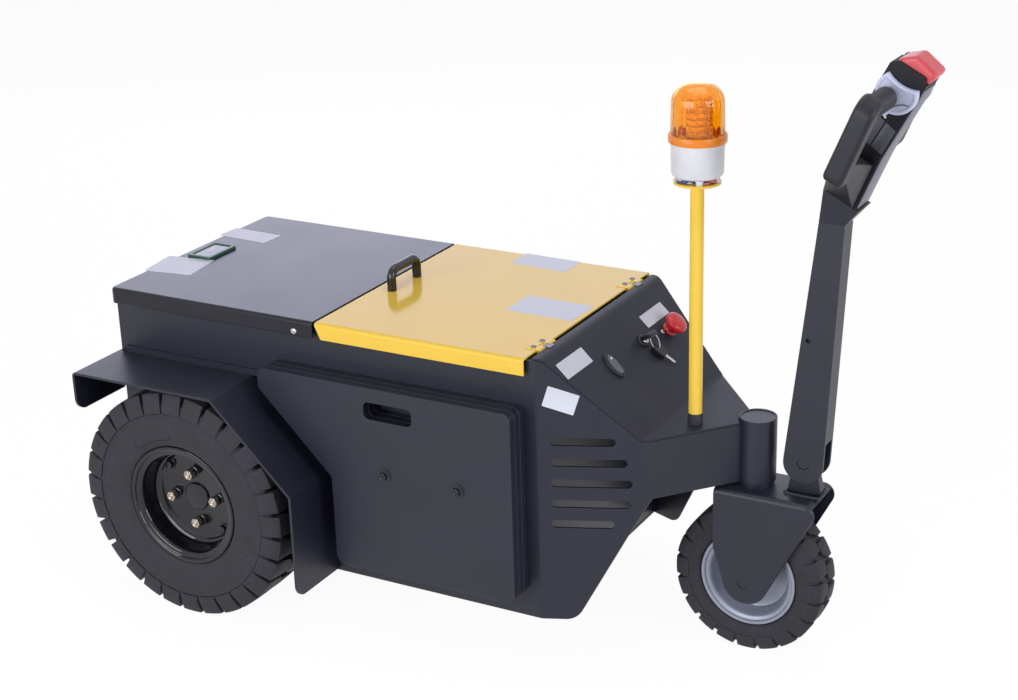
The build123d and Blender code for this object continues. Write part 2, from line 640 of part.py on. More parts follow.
# Nose side panel: folded once, ending at the head tube, with a slanted lower edge and louvres
panel_angle = degrees(atan2(BODY_HALF - NOSE_FOLD_HALF, FOLD_X - SEAM_X))
louvre_plane = Plane(
    origin=(SEAM_X, -BODY_HALF, 0),
    x_dir=(cos(radians(panel_angle)), sin(radians(panel_angle)), 0),
    z_dir=(sin(radians(panel_angle)), -cos(radians(panel_angle)), 0),
)
slope = atan2(CONSOLE_TOP - CONSOLE_LOW, CONSOLE_END_X - CONSOLE_BEND_X)
mitre = CONSOLE_SHEET * tan(slope / 2)
under_bend = (CONSOLE_BEND_X - mitre, BODY_TOP)
under_end = (CONSOLE_END_X - mitre, CONSOLE_LOW - CONSOLE_SHEET)
with BuildPart() as nose_side_right:
    with BuildSketch(Plane.XY):
        with BuildLine():
            Polyline((SEAM_X, -BODY_HALF), (FOLD_X, -NOSE_FOLD_HALF), (STEER_X, 0))
            offset(amount=NOSE_SHEET, side=Side.LEFT)
        make_face()
    extrude(amount=COVER_TOP)
    with BuildSketch(Plane.XZ) as nose_outline:
        with BuildLine():
            Polyline(
                (SEAM_X, BODY_BOTTOM),
                (SEAM_X + NOSE_TIP_END, BODY_BOTTOM),
                (SEAM_X + NOSE_SLANT_END, HEAD_LOW),
                (STEER_X, HEAD_LOW),
                (STEER_X, CONSOLE_LOW - CONSOLE_SHEET),
                under_end,
                under_bend,
                (SEAM_X, BODY_TOP),
                close=True,
            )
        make_face()
        for corner, radius in (
            ((SEAM_X + NOSE_TIP_END, BODY_BOTTOM), NOSE_TIP_R),
            (under_end, CONSOLE_BEND_R + CONSOLE_SHEET),
            (under_bend, CONSOLE_BEND_R - CONSOLE_SHEET),
        ):
            fillet(nose_outline.vertices().sort_by_distance(corner)[:1], radius=radius)
    extrude(amount=BODY_HALF, mode=Mode.INTERSECT)
    with BuildSketch(Plane.XY.offset(BODY_BOTTOM)):
        with Locations((STEER_X, 0)):
            Circle(HEAD_R + SEAT_GAP)
    extrude(amount=COVER_TOP, mode=Mode.SUBTRACT)
    for row in range(LOUVRE_COUNT):
        with BuildSketch(louvre_plane.offset(NOSE_SHEET / 2)):
            with Locations(
                ((LOUVRE_START + LOUVRE_ENDS[row]) / 2, LOUVRE_LOW_Z + row * LOUVRE_PITCH)
            ):
                SlotOverall(LOUVRE_ENDS[row] - LOUVRE_START, LOUVRE_HEIGHT)
        extrude(amount=-2 * NOSE_SHEET, mode=Mode.SUBTRACT)

with BuildPart() as nose_side_left:
    mirror(nose_side_right.part, about=Plane.XZ)

# Console sheet: flat behind, sloped for the controls, flat again up to the head tube
console_tip_x = STEER_X - HEAD_R / 2
console_tip_half = (STEER_X - console_tip_x) * NOSE_FOLD_HALF / (STEER_X - FOLD_X)
with BuildPart() as nose_console:
    with BuildSketch(Plane.XZ):
        with BuildLine():
            FilletPolyline(
                (CONSOLE_REAR_X - CONSOLE_BEND_R, CONSOLE_TOP),
                (CONSOLE_BEND_X, CONSOLE_TOP),
                (CONSOLE_END_X, CONSOLE_LOW),
                (STEER_X, CONSOLE_LOW),
                radius=CONSOLE_BEND_R,
            )
            offset(amount=CONSOLE_SHEET, side=Side.RIGHT)
        make_face()
    extrude(amount=BODY_HALF, both=True)
    with BuildSketch(Plane.XY.offset(HEAD_LOW)):
        with BuildLine():
            Polyline(
                (CONSOLE_REAR_X, -BODY_HALF),
                (SEAM_X, -BODY_HALF),
                (FOLD_X, -NOSE_FOLD_HALF),
                (console_tip_x, -console_tip_half),
                (console_tip_x, console_tip_half),
                (FOLD_X, NOSE_FOLD_HALF),
                (SEAM_X, BODY_HALF),
                (CONSOLE_REAR_X, BODY_HALF),
                close=True,
            )
        make_face()
    extrude(amount=COVER_TOP, mode=Mode.INTERSECT)
    with BuildSketch(Plane.XY.offset(HEAD_LOW)):
        with Locations((STEER_X, 0)):
            Circle(HEAD_R + SEAT_GAP)
    extrude(amount=COVER_TOP, mode=Mode.SUBTRACT)


# Controls stand square to the console's slope
def console_plane(ahead, across):
    """Plane on the slope: local x to the left, local y up the slope, normal outward."""
    return Plane(
        origin=(CONSOLE_BEND_X + ahead, across, CONSOLE_TOP - ahead * tan(slope)),
        x_dir=(0, 1, 0),
        z_dir=(sin(slope), 0, cos(slope)),
    )


stop_plane = console_plane(STOP_AHEAD, STOP_ACROSS)
with BuildPart() as stop_button:
    with BuildSketch(stop_plane):
        Circle(STOP_NECK_R)
    extrude(amount=STOP_NECK_HEIGHT, taper=STOP_NECK_TAPER)
    with BuildSketch(stop_plane.offset(STOP_NECK_HEIGHT)):
        Circle(STOP_HEAD_R)
    extrude(amount=STOP_HEAD_HEIGHT)
    fillet(
        stop_button.edges().filter_by(GeomType.CIRCLE).sort_by(SortBy.RADIUS)[-2:],
        radius=STOP_HEAD_EDGE_R,
    )

key_plane = console_plane(KEY_AHEAD, KEY_ACROSS)
with BuildPart() as key_switch:
    with BuildSketch(key_plane):
        Circle(KEY_BEZEL_R)
    extrude(amount=KEY_BEZEL_HEIGHT, taper=KEY_BEZEL_TAPER)
    with BuildSketch(key_plane):
        Circle(KEY_BARREL_R)
    extrude(amount=KEY_BARREL_HEIGHT)
    with BuildSketch(key_plane.offset(KEY_BARREL_HEIGHT)):
        SlotOverall(KEY_BOW_WIDTH, KEY_BOW_SHEET, rotation=90)
    extrude(amount=KEY_BOW_HEIGHT)

rocker_plane = console_plane(ROCKER_AHEAD, ROCKER_ACROSS)
with BuildPart() as rocker_switch:
    with BuildSketch(rocker_plane):
        Ellipse(ROCKER_SHORT_R, ROCKER_LONG_R)
    extrude(amount=ROCKER_BEZEL_HEIGHT)
    with BuildSketch(rocker_plane.offset(ROCKER_BEZEL_HEIGHT)):
        Ellipse(ROCKER_SHORT_R - ROCKER_PAD_INSET, ROCKER_LONG_R - ROCKER_PAD_INSET)
    extrude(amount=ROCKER_PAD_HEIGHT)

# Beacon pole with its round top plate
with BuildPart() as beacon_pole:
    with BuildSketch(Plane.XY.offset(CONSOLE_LOW)):
        with Locations((POLE_X, POLE_ACROSS)):
            Circle(POLE_R)
    extrude(amount=POLE_TOP - CONSOLE_LOW)
    with BuildSketch(Plane.XY.offset(POLE_TOP - POLE_PLATE_SHEET)):
        with Locations((POLE_X, POLE_ACROSS)):
            Circle(POLE_PLATE_R)
    extrude(amount=POLE_PLATE_SHEET)

# Rubber boot round the pole's foot
with BuildPart() as pole_boot:
    with BuildSketch(Plane.XY.offset(CONSOLE_LOW)):
        with Locations((POLE_X, POLE_ACROSS)):
            Circle(SOCKET_R)
            Circle(POLE_R + SEAT_GAP, mode=Mode.SUBTRACT)
    extrude(amount=SOCKET_HEIGHT)

# Beacon base: a flared bowl that stands on three feet on the plate
beacon_low = POLE_TOP + BEACON_FOOT_HEIGHT
beacon_seat = beacon_low + BEACON_BASE_HEIGHT
beacon_axis = Axis((POLE_X, POLE_ACROSS, 0), (0, 0, 1))
beacon_plane = Plane(origin=(POLE_X, POLE_ACROSS, 0), x_dir=(1, 0, 0), z_dir=(0, -1, 0))
with BuildPart() as beacon_base:
    with BuildSketch(beacon_plane) as base_profile:
        with BuildLine():
            Polyline(
                (0, beacon_low),
                (BEACON_BASE_LOW_R, beacon_low),
                (BEACON_BASE_R, beacon_seat),
                (0, beacon_seat),
                close=True,
            )
        make_face()
        fillet(
            base_profile.vertices().group_by(Axis.Y)[0].sort_by(Axis.X)[-1:],
            radius=BEACON_BASE_EDGE_R,
        )
    revolve(axis=beacon_axis)
    with BuildSketch(Plane.XY.offset(POLE_TOP)):
        with Locations((POLE_X, POLE_ACROSS)):
            with PolarLocations(BEACON_FOOT_SPREAD, BEACON_FEET):
                Circle(BEACON_FOOT_R)
    extrude(amount=BEACON_FOOT_HEIGHT)

# Amber dome with its clamp ring, hollow over the lamp
dome_top = beacon_seat + BEACON_RING_HEIGHT + DOME_HEIGHT
with BuildPart() as beacon_dome:
    with BuildSketch(beacon_plane) as dome_profile:
        with BuildLine():
            Polyline(
                (0, beacon_seat),
                (BEACON_RING_R, beacon_seat),
                (BEACON_RING_R, beacon_seat + BEACON_RING_HEIGHT),
                (DOME_R, beacon_seat + BEACON_RING_HEIGHT),
                (DOME_TOP_R, dome_top),
                (0, dome_top),
                close=True,
            )
        make_face()
        fillet(
            dome_profile.vertices().group_by(Axis.Y)[-1].sort_by(Axis.X)[-1:],
            radius=DOME_EDGE_R,
        )
    revolve(axis=beacon_axis)
    with BuildSketch(beacon_plane) as dome_hollow:
        with BuildLine():
            Polyline(
                (0, beacon_seat),
                (DOME_R - DOME_SHEET, beacon_seat),
                (DOME_TOP_R - DOME_SHEET, dome_top - DOME_SHEET),
                (0, dome_top - DOME_SHEET),
                close=True,
            )
        make_face()
        fillet(
            dome_hollow.vertices().group_by(Axis.Y)[-1].sort_by(Axis.X)[-1:],
            radius=DOME_EDGE_R - DOME_SHEET,
        )
    revolve(axis=beacon_axis, mode=Mode.SUBTRACT)

# Flash lamp standing inside the dome
with BuildPart() as beacon_lamp:
    with BuildSketch(Plane.XY.offset(beacon_seat)):
        with Locations((POLE_X, POLE_ACROSS)):
            Circle(LAMP_R)
    extrude(amount=LAMP_HEIGHT)
    fillet(beacon_lamp.faces().sort_by(Axis.Z)[-1].edges(), radius=LAMP_R / 2)

# Head tube with a closed top and the kingpin's bore from below
with BuildPart() as head_tube:
    with BuildSketch(Plane.XY.offset(HEAD_LOW)):
        with Locations((STEER_X, 0)):
            Circle(HEAD_R)
    extrude(amount=HEAD_TOP - HEAD_LOW)
    with BuildSketch(Plane.XY.offset(HEAD_TOP)):
        with Locations((STEER_X, 0)):
            Circle(HEAD_R - HEAD_RIM)
    extrude(amount=-HEAD_RECESS, mode=Mode.SUBTRACT)
    with BuildSketch(Plane.XY.offset(HEAD_LOW)):
        with Locations((STEER_X, 0)):
            Circle(KINGPIN_R + RUN_GAP)
    extrude(amount=HEAD_TOP - HEAD_ROOF - HEAD_LOW, mode=Mode.SUBTRACT)

# Steering fork: one plate bent over the front wheel, with the kingpin and thrust collar on top
fork_nose_x = STEER_X + FORK_FRONT - FORK_NOSE_R
with BuildPart() as fork:
    with BuildSketch(Plane.XZ):
        with Locations((STEER_X, FRONT_TYRE_R)):
            Circle(FORK_FOOT_R)
        with Locations((STEER_X - FORK_BACK / 2, FORK_TOP - FORK_BACK_DEPTH / 2)):
            Rectangle(FORK_BACK, FORK_BACK_DEPTH)
        with Locations((fork_nose_x, FORK_TOP - FORK_NOSE_R)):
            Circle(FORK_NOSE_R)
        make_hull()
    extrude(amount=FORK_HALF, both=True)
    fillet(
        fork.faces().filter_by(Axis.Z).sort_by(Axis.Z)[-1].edges().filter_by(Axis.X),
        radius=FORK_BEND_R,
    )
    with BuildSketch(Plane.XZ):
        with Locations((STEER_X, FORK_TOP - FORK_SHEET - FORK_TOP / 2)):
            Rectangle(2 * (FORK_FRONT + FORK_BACK), FORK_TOP)
    extrude(amount=FORK_HALF - FORK_SHEET, both=True, mode=Mode.SUBTRACT)
    with BuildSketch(Plane.XZ):
        with Locations((STEER_X, FRONT_TYRE_R)):
            Circle(FRONT_AXLE_R + RUN_GAP)
    extrude(amount=FORK_HALF, both=True, mode=Mode.SUBTRACT)
    with BuildSketch(Plane.XY.offset(FORK_TOP)):
        with Locations((STEER_X, 0)):
            Circle(THRUST_R)
    extrude(amount=HEAD_LOW - SEAT_GAP - FORK_TOP)
    with BuildSketch(Plane.XY.offset(FORK_TOP)):
        with Locations((STEER_X, 0)):
            Circle(KINGPIN_R)
    extrude(amount=HEAD_TOP - HEAD_ROOF - SEAT_GAP - FORK_TOP)

# Front axle pin, its ends a little below the fork's cheeks
with BuildPart() as front_axle:
    with BuildSketch(Plane.XZ):
        with Locations((STEER_X, FRONT_TYRE_R)):
            Circle(FRONT_AXLE_R)
    extrude(amount=FORK_HALF - AXLE_RECESS, both=True)

# Ear on the fork that carries the tiller on a cross pin
with BuildPart() as tiller_bracket:
    with BuildSketch(Plane.XZ):
        with Locations((PIVOT_X, TILLER_PIVOT_Z)):
            Circle(EAR_R)
        with Locations((PIVOT_X, FORK_TOP + EAR_HALF / 2)):
            Rectangle(EAR_FOOT, EAR_HALF)
        make_hull()
    extrude(amount=EAR_HALF, both=True)
    with BuildSketch(Plane.XZ):
        with Locations((PIVOT_X, TILLER_PIVOT_Z)):
            Circle(PIVOT_PIN_R)
    extrude(amount=TILLER_HALF - AXLE_RECESS, both=True)

# Planes of the tiller head: across it (left, along the lean), through its side and under its base
lean = radians(HEAD_LEAN)
head_origin = (PIVOT_X + HEAD_BASE_AHEAD, 0, TILLER_TOP + HEAD_BASE_RISE)
head_front = Plane(origin=head_origin, x_dir=(0, 1, 0), z_dir=(cos(lean), 0, -sin(lean)))
head_side = Plane(origin=head_origin, x_dir=(cos(lean), 0, -sin(lean)), z_dir=(0, -1, 0))
head_base = Plane(origin=head_origin, x_dir=(cos(lean), 0, -sin(lean)), z_dir=(sin(lean), 0, cos(lean)))
head_axis = Axis(head_origin, (sin(lean), 0, cos(lean)))

# Tiller arm: tapered box section, rounded foot slotted over the ear, flared collar under the head
tiller_top_x = PIVOT_X + TILLER_TOP_BACK
collar_front = POD_FOOT_FRONT + COLLAR_FRONT_PROUD
with BuildPart() as tiller_arm:
    with BuildSketch(Plane.XZ):
        with Locations((PIVOT_X, TILLER_PIVOT_Z)):
            Circle(TILLER_FOOT_R)
        with Locations((tiller_top_x + TILLER_TOP_DEPTH / 2, TILLER_TOP - TILLER_EDGE_R / 2)):
            Rectangle(TILLER_TOP_DEPTH, TILLER_EDGE_R)
        make_hull()
    extrude(amount=TILLER_HALF, both=True)
    with BuildSketch(Plane.XY.offset(TILLER_TOP)):
        with Locations((tiller_top_x + TILLER_TOP_DEPTH / 2, 0)):
            Rectangle(TILLER_TOP_DEPTH, 2 * TILLER_HALF)
    with BuildSketch(head_base):
        with Locations(((HEAD_BASE_BACK + collar_front) / 2, 0)):
            Rectangle(collar_front - HEAD_BASE_BACK, 2 * COLLAR_HALF)
    loft(ruled=True)
    with BuildSketch(Plane.XZ):
        with Locations(
            (
                PIVOT_X - TILLER_SLOT_BACK + TILLER_FOOT_R,
                TILLER_PIVOT_Z + TILLER_SLOT_RISE / 2 - TILLER_FOOT_R,
            )
        ):
            Rectangle(2 * TILLER_FOOT_R, TILLER_SLOT_RISE + 2 * TILLER_FOOT_R)
    extrude(amount=TILLER_SLOT_HALF, both=True, mode=Mode.SUBTRACT)
    with BuildSketch(Plane.XZ):
        with Locations((PIVOT_X, TILLER_PIVOT_Z)):
            Circle(PIVOT_PIN_R + RUN_GAP)
    extrude(amount=TILLER_HALF, both=True, mode=Mode.SUBTRACT)
    for side_plane in (Plane.XZ.offset(TILLER_HALF - TILLER_HOLE_DEPTH), Plane.XZ.offset(-TILLER_HALF)):
        with BuildSketch(side_plane):
            with Locations((PIVOT_X + TILLER_HOLE_AHEAD, TILLER_PIVOT_Z + TILLER_HOLE_RISE)):
                Circle(TILLER_HOLE_R)
        extrude(amount=TILLER_HOLE_DEPTH, mode=Mode.SUBTRACT)


def arm_back(along):
    """Rear edge of a head arm at a height along the head."""
    share = (along - HEAD_ARM_LOW) / (HEAD_ARM_TOP - HEAD_ARM_LOW)
    return HEAD_ARM_LOW_BACK + share * (HEAD_ARM_TOP_BACK - HEAD_ARM_LOW_BACK)


def arm_section(low, high, inset):
    """Points across a head arm between two heights, moved in from its front and rear faces."""
    return (
        (arm_back(low) + inset, low),
        (arm_back(low) + HEAD_ARM_DEPTH - inset, low),
        (arm_back(high) + HEAD_ARM_DEPTH - inset, high),
        (arm_back(high) + inset, high),
    )


# Head frame: a base, and two branches that rise from its sides into leaning arms with round shoulders
branch_start = POD_HALF + SEAT_GAP
branch_end = HEAD_HALF - HEAD_ARM + BRANCH_SINK
branch_low = HEAD_ARM_LOW + BRANCH_END_RISE
branch_root = (
    (HEAD_BASE_BACK, 0),
    (BRANCH_FRONT, 0),
    (BRANCH_FRONT - BRANCH_LEAN, BRANCH_HEIGHT),
    (HEAD_BASE_BACK, BRANCH_HEIGHT),
)
with BuildPart() as head_frame:
    for arm_start in (HEAD_HALF - HEAD_ARM, -HEAD_HALF):
        with BuildSketch(head_side.offset(arm_start)):
            Polygon(*arm_section(HEAD_ARM_LOW, HEAD_ARM_TOP, 0), align=None)
        extrude(amount=HEAD_ARM)
    outer_faces = head_frame.faces().filter_by(head_side).sort_by(Axis.Y)
    outer_edges = outer_faces[0].edges().sort_by(head_axis), outer_faces[-1].edges().sort_by(head_axis)
    fillet([edges[-1] for edges in outer_edges], radius=HEAD_SHOULDER_R)
    outer_faces = head_frame.faces().filter_by(head_side).sort_by(Axis.Y)
    outer_edges = outer_faces[0].edges().sort_by(head_axis), outer_faces[-1].edges().sort_by(head_axis)
    fillet([edges[0] for edges in outer_edges], radius=HEAD_ELBOW_R)
    forward = Axis(head_origin, head_front.z_dir)
    arm_faces = head_frame.faces().filter_by(Axis.Y, reverse=True).sort_by(forward)
    fillet(
        arm_faces[0].edges() + arm_faces[1].edges() + arm_faces[-1].edges() + arm_faces[-2].edges(),
        radius=HEAD_EDGE_R,
    )
    for side in (1, -1):
        with BuildSketch(head_side.offset(side * branch_start)):
            Polygon(*branch_root, align=None)
        with BuildSketch(head_side.offset(side * branch_end)):
            Polygon(*arm_section(branch_low, branch_low + BRANCH_END_HEIGHT, BRANCH_INSET), align=None)
        loft(ruled=True)
    with BuildSketch(head_base):
        with Locations((HEAD_BASE_BACK + HEAD_BASE_DEPTH / 2, 0)):
            Rectangle(HEAD_BASE_DEPTH, 2 * branch_start)
    extrude(amount=HEAD_BASE_HEIGHT)

# Pod between the grips: a front band runs down to the collar, two ears stand beside the button
pod_band_back = HEAD_BASE_BACK + HEAD_BASE_DEPTH + SEAT_GAP
with BuildPart() as head_pod:
    with BuildSketch(head_side):
        with BuildLine():
            Polyline(
                (pod_band_back, SEAT_GAP),
                (POD_FOOT_FRONT, SEAT_GAP),
                (POD_NECK_FRONT, POD_NECK),
                (POD_FRONT, POD_TOP),
                (POD_BACK, POD_TOP),
                (POD_BACK, POD_WAIST),
                (pod_band_back, HEAD_BASE_HEIGHT + SEAT_GAP),
                close=True,
            )
        make_face()
    extrude(amount=POD_HALF, both=True)
    fillet(head_pod.faces().filter_by(head_side).edges(), radius=POD_EDGE_R)
    for ear_start in (BUTTON_HALF + SEAT_GAP, -POD_HALF):
        with BuildSketch(head_side.offset(ear_start)) as ear_outline:
            with Locations(((POD_BACK + POD_FRONT) / 2, POD_TOP)):
                Rectangle(POD_FRONT - POD_BACK - 2 * POD_EDGE_R, 2 * POD_EAR_HEIGHT)
            fillet(ear_outline.vertices().group_by(Axis.Y)[-1], radius=POD_EAR_R)
        extrude(amount=POD_HALF - BUTTON_HALF - SEAT_GAP)

# Throttle wings, flat scooped discs on the pod's two sides
with BuildPart() as throttle_wings:
    for side in (-1, 1):
        wing_start = POD_HALF if side < 0 else -POD_HALF - WING_SHEET
        with BuildSketch(head_side.offset(wing_start)):
            with Locations((WING_BACK, WING_ALONG)):
                Circle(WING_R)
            with Locations((WING_BACK, WING_ALONG + WING_R - WING_SCOOP_DEPTH + WING_SCOOP_R)):
                Circle(WING_SCOOP_R, mode=Mode.SUBTRACT)
        extrude(amount=WING_SHEET)
    outer_faces = throttle_wings.faces().filter_by(head_side).sort_by(Axis.Y)
    fillet(outer_faces[0].edges() + outer_faces[-1].edges(), radius=WING_EDGE_R)

# Ribbed grips from the wings out to the arms
grip_start = POD_HALF + WING_SHEET
grip_length = HEAD_HALF - HEAD_ARM - grip_start
rib_pitch = grip_length / GRIP_RIBS
with BuildPart() as head_grips:
    for side in (-1, 1):
        for rib in range(GRIP_RIBS):
            rib_start = grip_start + rib * rib_pitch
            groove_plane = head_side.offset(rib_start if side < 0 else -rib_start - rib_pitch)
            with BuildSketch(groove_plane):
                with Locations((GRIP_BACK, GRIP_ALONG)):
                    Circle(GRIP_R - GRIP_RIB_DEPTH)
            extrude(amount=rib_pitch)
            with BuildSketch(groove_plane.offset(rib_pitch / 4)):
                with Locations((GRIP_BACK, GRIP_ALONG)):
                    Circle(GRIP_R)
            extrude(amount=rib_pitch / 2)

# Safety button over the pod's end, rounded all over
with BuildPart() as belly_button:
    with BuildSketch(head_side) as button_outline:
        with BuildLine():
            Polyline(
                (BUTTON_BACK, POD_TOP),
                (POD_FRONT, POD_TOP),
                (POD_FRONT + BUTTON_FRONT_OVER, POD_TOP + BUTTON_FRONT_HEIGHT),
                (BUTTON_RIDGE, POD_TOP + BUTTON_HEIGHT),
                (BUTTON_BACK, POD_TOP + BUTTON_BACK_HEIGHT),
                close=True,
            )
        make_face()
        fillet(button_outline.vertices().group_by(Axis.Y)[1:], radius=BUTTON_CORNER_R)
    extrude(amount=BUTTON_HALF, both=True)
    fillet(belly_button.faces().filter_by(head_side).edges(), radius=BUTTON_EDGE_R)

# Rear wheel sections, drawn across the tyre about the axle
rear_axis = Axis((REAR_AXLE_X, 0, REAR_TYRE_R), (0, 1, 0))
rear_section = Plane(
    origin=(REAR_AXLE_X, -REAR_TRACK_HALF, REAR_TYRE_R), x_dir=(0, -1, 0), z_dir=(1, 0, 0)
)
disc_out = REAR_FLANGE_HALF - REAR_DISC_RECESS
barrel_r = REAR_BEAD_R - RIM_SHEET
with BuildPart() as rear_rim_right:
    with BuildSketch(rear_section):
        with BuildLine():
            Polyline(
                (REAR_FLANGE_HALF, REAR_FLANGE_R),
                (REAR_FLANGE_HALF, REAR_FLANGE_R - RIM_LIP),
                (REAR_FLANGE_HALF - RIM_WALL, REAR_FLANGE_R - RIM_LIP - RIM_STEP),
                (REAR_FLANGE_HALF - RIM_WALL, REAR_BEAD_R),
                (REAR_FLANGE_HALF - 2 * RIM_STEP, REAR_BEAD_R - RIM_WALL),
                (disc_out + RIM_SHEET, barrel_r),
                (disc_out, barrel_r - 2 * RIM_STEP),
                (disc_out, HUB_CAP_R),
                (disc_out + HUB_CAP_PROUD, HUB_CAP_R),
                (disc_out + HUB_CAP_PROUD, 0),
                (disc_out, 0),
                (disc_out, STUB_R + RUN_GAP),
                (-REAR_FLANGE_HALF, STUB_R + RUN_GAP),
                (-REAR_FLANGE_HALF, HUB_R),
                (disc_out - REAR_DISC_SHEET, HUB_R),
                (disc_out - REAR_DISC_SHEET, barrel_r),
                (-REAR_FLANGE_HALF, barrel_r),
                (-REAR_FLANGE_HALF, REAR_FLANGE_R),
                (-REAR_FLANGE_HALF + RIM_SHEET, REAR_FLANGE_R),
                (-REAR_FLANGE_HALF + RIM_SHEET, REAR_BEAD_R),
                (REAR_FLANGE_HALF - RIM_SHEET, REAR_BEAD_R),
                (REAR_FLANGE_HALF - RIM_SHEET, REAR_FLANGE_R),
                close=True,
            )
        make_face()
    revolve(axis=rear_axis)
    with BuildSketch(Plane.XZ.offset(REAR_TRACK_HALF + disc_out)):
        with Locations((REAR_AXLE_X, REAR_TYRE_R)):
            with PolarLocations(STUD_CIRCLE_R, STUD_COUNT, start_angle=STUD_TURN):
                Circle(STUD_R)
    extrude(amount=STUD_LENGTH)
    with BuildSketch(Plane.XZ.offset(REAR_TRACK_HALF + disc_out + STUD_LENGTH - NUT_HEIGHT)):
        with Locations((REAR_AXLE_X, REAR_TYRE_R)):
            with PolarLocations(STUD_CIRCLE_R, STUD_COUNT, start_angle=STUD_TURN):
                RegularPolygon(NUT_R, 6)
    extrude(amount=NUT_HEIGHT)

with BuildPart() as rear_rim_left:
    mirror(rear_rim_right.part, about=Plane.XZ)

# Lugs are flat-topped: their corners reach the tyre's radius
def lug_ring(radius, depth, count, gap, turn):
    """Corners of a ring of lugs with even gaps, in order round the wheel."""
    corners = []
    for number in range(count):
        middle = radians(turn + number * 360.0 / count)
        for reach, side in ((radius - depth, -1), (radius, -1), (radius, 1), (radius - depth, 1)):
            angle = middle + side * (pi / count - asin(gap / 2 / reach))
            corners.append((reach * cos(angle), reach * sin(angle)))
    return corners


def lug_ends(tyre, radius, depth):
    """Top edges of the lugs on both sides of a tyre."""
    sides = tyre.faces().sort_by(Axis.Y)
    return [
        edge
        for face in (sides[0], sides[-1])
        for edge in face.edges()
        if (edge.center() - face.center(CenterOf.MASS)).length > radius - depth / 4
    ]


# Rear tyre: two halves whose lugs stagger, hollowed at both sidewalls, bored for the rim
seat_half = REAR_FLANGE_HALF - RIM_SHEET - SEAT_GAP
with BuildPart() as rear_tyre_right:
    for inner_y, turn in (
        (REAR_TRACK_HALF, 0.0),
        (REAR_TRACK_HALF - REAR_TYRE_HALF, 180.0 / REAR_LUGS),
    ):
        with BuildSketch(Plane.XZ.offset(inner_y)):
            with Locations((REAR_AXLE_X, REAR_TYRE_R)):
                Polygon(*lug_ring(REAR_TYRE_R, REAR_LUG_DEPTH, REAR_LUGS, REAR_LUG_GAP, turn), align=None)
        extrude(amount=REAR_TYRE_HALF)
    chamfer(lug_ends(rear_tyre_right, REAR_TYRE_R, REAR_LUG_DEPTH), length=REAR_SHOULDER)
    for side in (1, -1):
        with BuildSketch(Plane.XZ.offset(REAR_TRACK_HALF + side * REAR_TYRE_HALF)):
            with Locations((REAR_AXLE_X, REAR_TYRE_R)):
                RegularPolygon(REAR_TYRE_R - REAR_LUG_DEPTH - SIDEWALL_EDGE, 2 * REAR_LUGS)
        with BuildSketch(Plane.XZ.offset(REAR_TRACK_HALF + side * seat_half)):
            with Locations((REAR_AXLE_X, REAR_TYRE_R)):
                RegularPolygon(REAR_FLANGE_R + SIDEWALL_FOOT, 2 * REAR_LUGS)
        loft(ruled=True, mode=Mode.SUBTRACT)
    with BuildSketch(Plane.XZ.offset(REAR_TRACK_HALF)):
        with Locations((REAR_AXLE_X, REAR_TYRE_R)):
            RegularPolygon(REAR_BEAD_R + SEAT_GAP, 2 * REAR_LUGS, major_radius=False)
    extrude(amount=REAR_TYRE_HALF, both=True, mode=Mode.SUBTRACT)

with BuildPart() as rear_tyre_left:
    mirror(rear_tyre_right.part, about=Plane.XZ)

# Front wheel: cast rim with a long hub and stepped flanges
front_axis = Axis((STEER_X, 0, FRONT_TYRE_R), (0, 1, 0))
front_section = Plane(origin=(STEER_X, 0, FRONT_TYRE_R), x_dir=(0, -1, 0), z_dir=(1, 0, 0))
front_barrel_r = FRONT_BEAD_R - RIM_SHEET
with BuildPart() as front_rim:
    with BuildSketch(front_section):
        with BuildLine():
            Polyline(
                (FRONT_FLANGE_HALF, FRONT_FLANGE_R),
                (FRONT_FLANGE_HALF, FRONT_FLANGE_R - RIM_LIP),
                (FRONT_FLANGE_HALF - RIM_STEP, FRONT_FLANGE_R - RIM_LIP - RIM_STEP),
                (FRONT_FLANGE_HALF - 2 * RIM_STEP, front_barrel_r),
                (RIM_SHEET, front_barrel_r - RIM_SHEET),
                (RIM_SHEET, FRONT_HUB_R),
                (FRONT_HUB_HALF, FRONT_HUB_R),
                (FRONT_HUB_HALF, FRONT_AXLE_R + RUN_GAP),
                (-FRONT_HUB_HALF, FRONT_AXLE_R + RUN_GAP),
                (-FRONT_HUB_HALF, FRONT_HUB_R),
                (-RIM_SHEET, FRONT_HUB_R),
                (-RIM_SHEET, front_barrel_r - RIM_SHEET),
                (2 * RIM_STEP - FRONT_FLANGE_HALF, front_barrel_r),
                (RIM_STEP - FRONT_FLANGE_HALF, FRONT_FLANGE_R - RIM_LIP - RIM_STEP),
                (-FRONT_FLANGE_HALF, FRONT_FLANGE_R - RIM_LIP),
                (-FRONT_FLANGE_HALF, FRONT_FLANGE_R),
                (-FRONT_FLANGE_HALF + RIM_SHEET, FRONT_FLANGE_R),
                (-FRONT_FLANGE_HALF + RIM_SHEET, FRONT_BEAD_R),
                (FRONT_FLANGE_HALF - RIM_SHEET, FRONT_BEAD_R),
                (FRONT_FLANGE_HALF - RIM_SHEET, FRONT_FLANGE_R),
                close=True,
            )
        make_face()
    revolve(axis=front_axis)

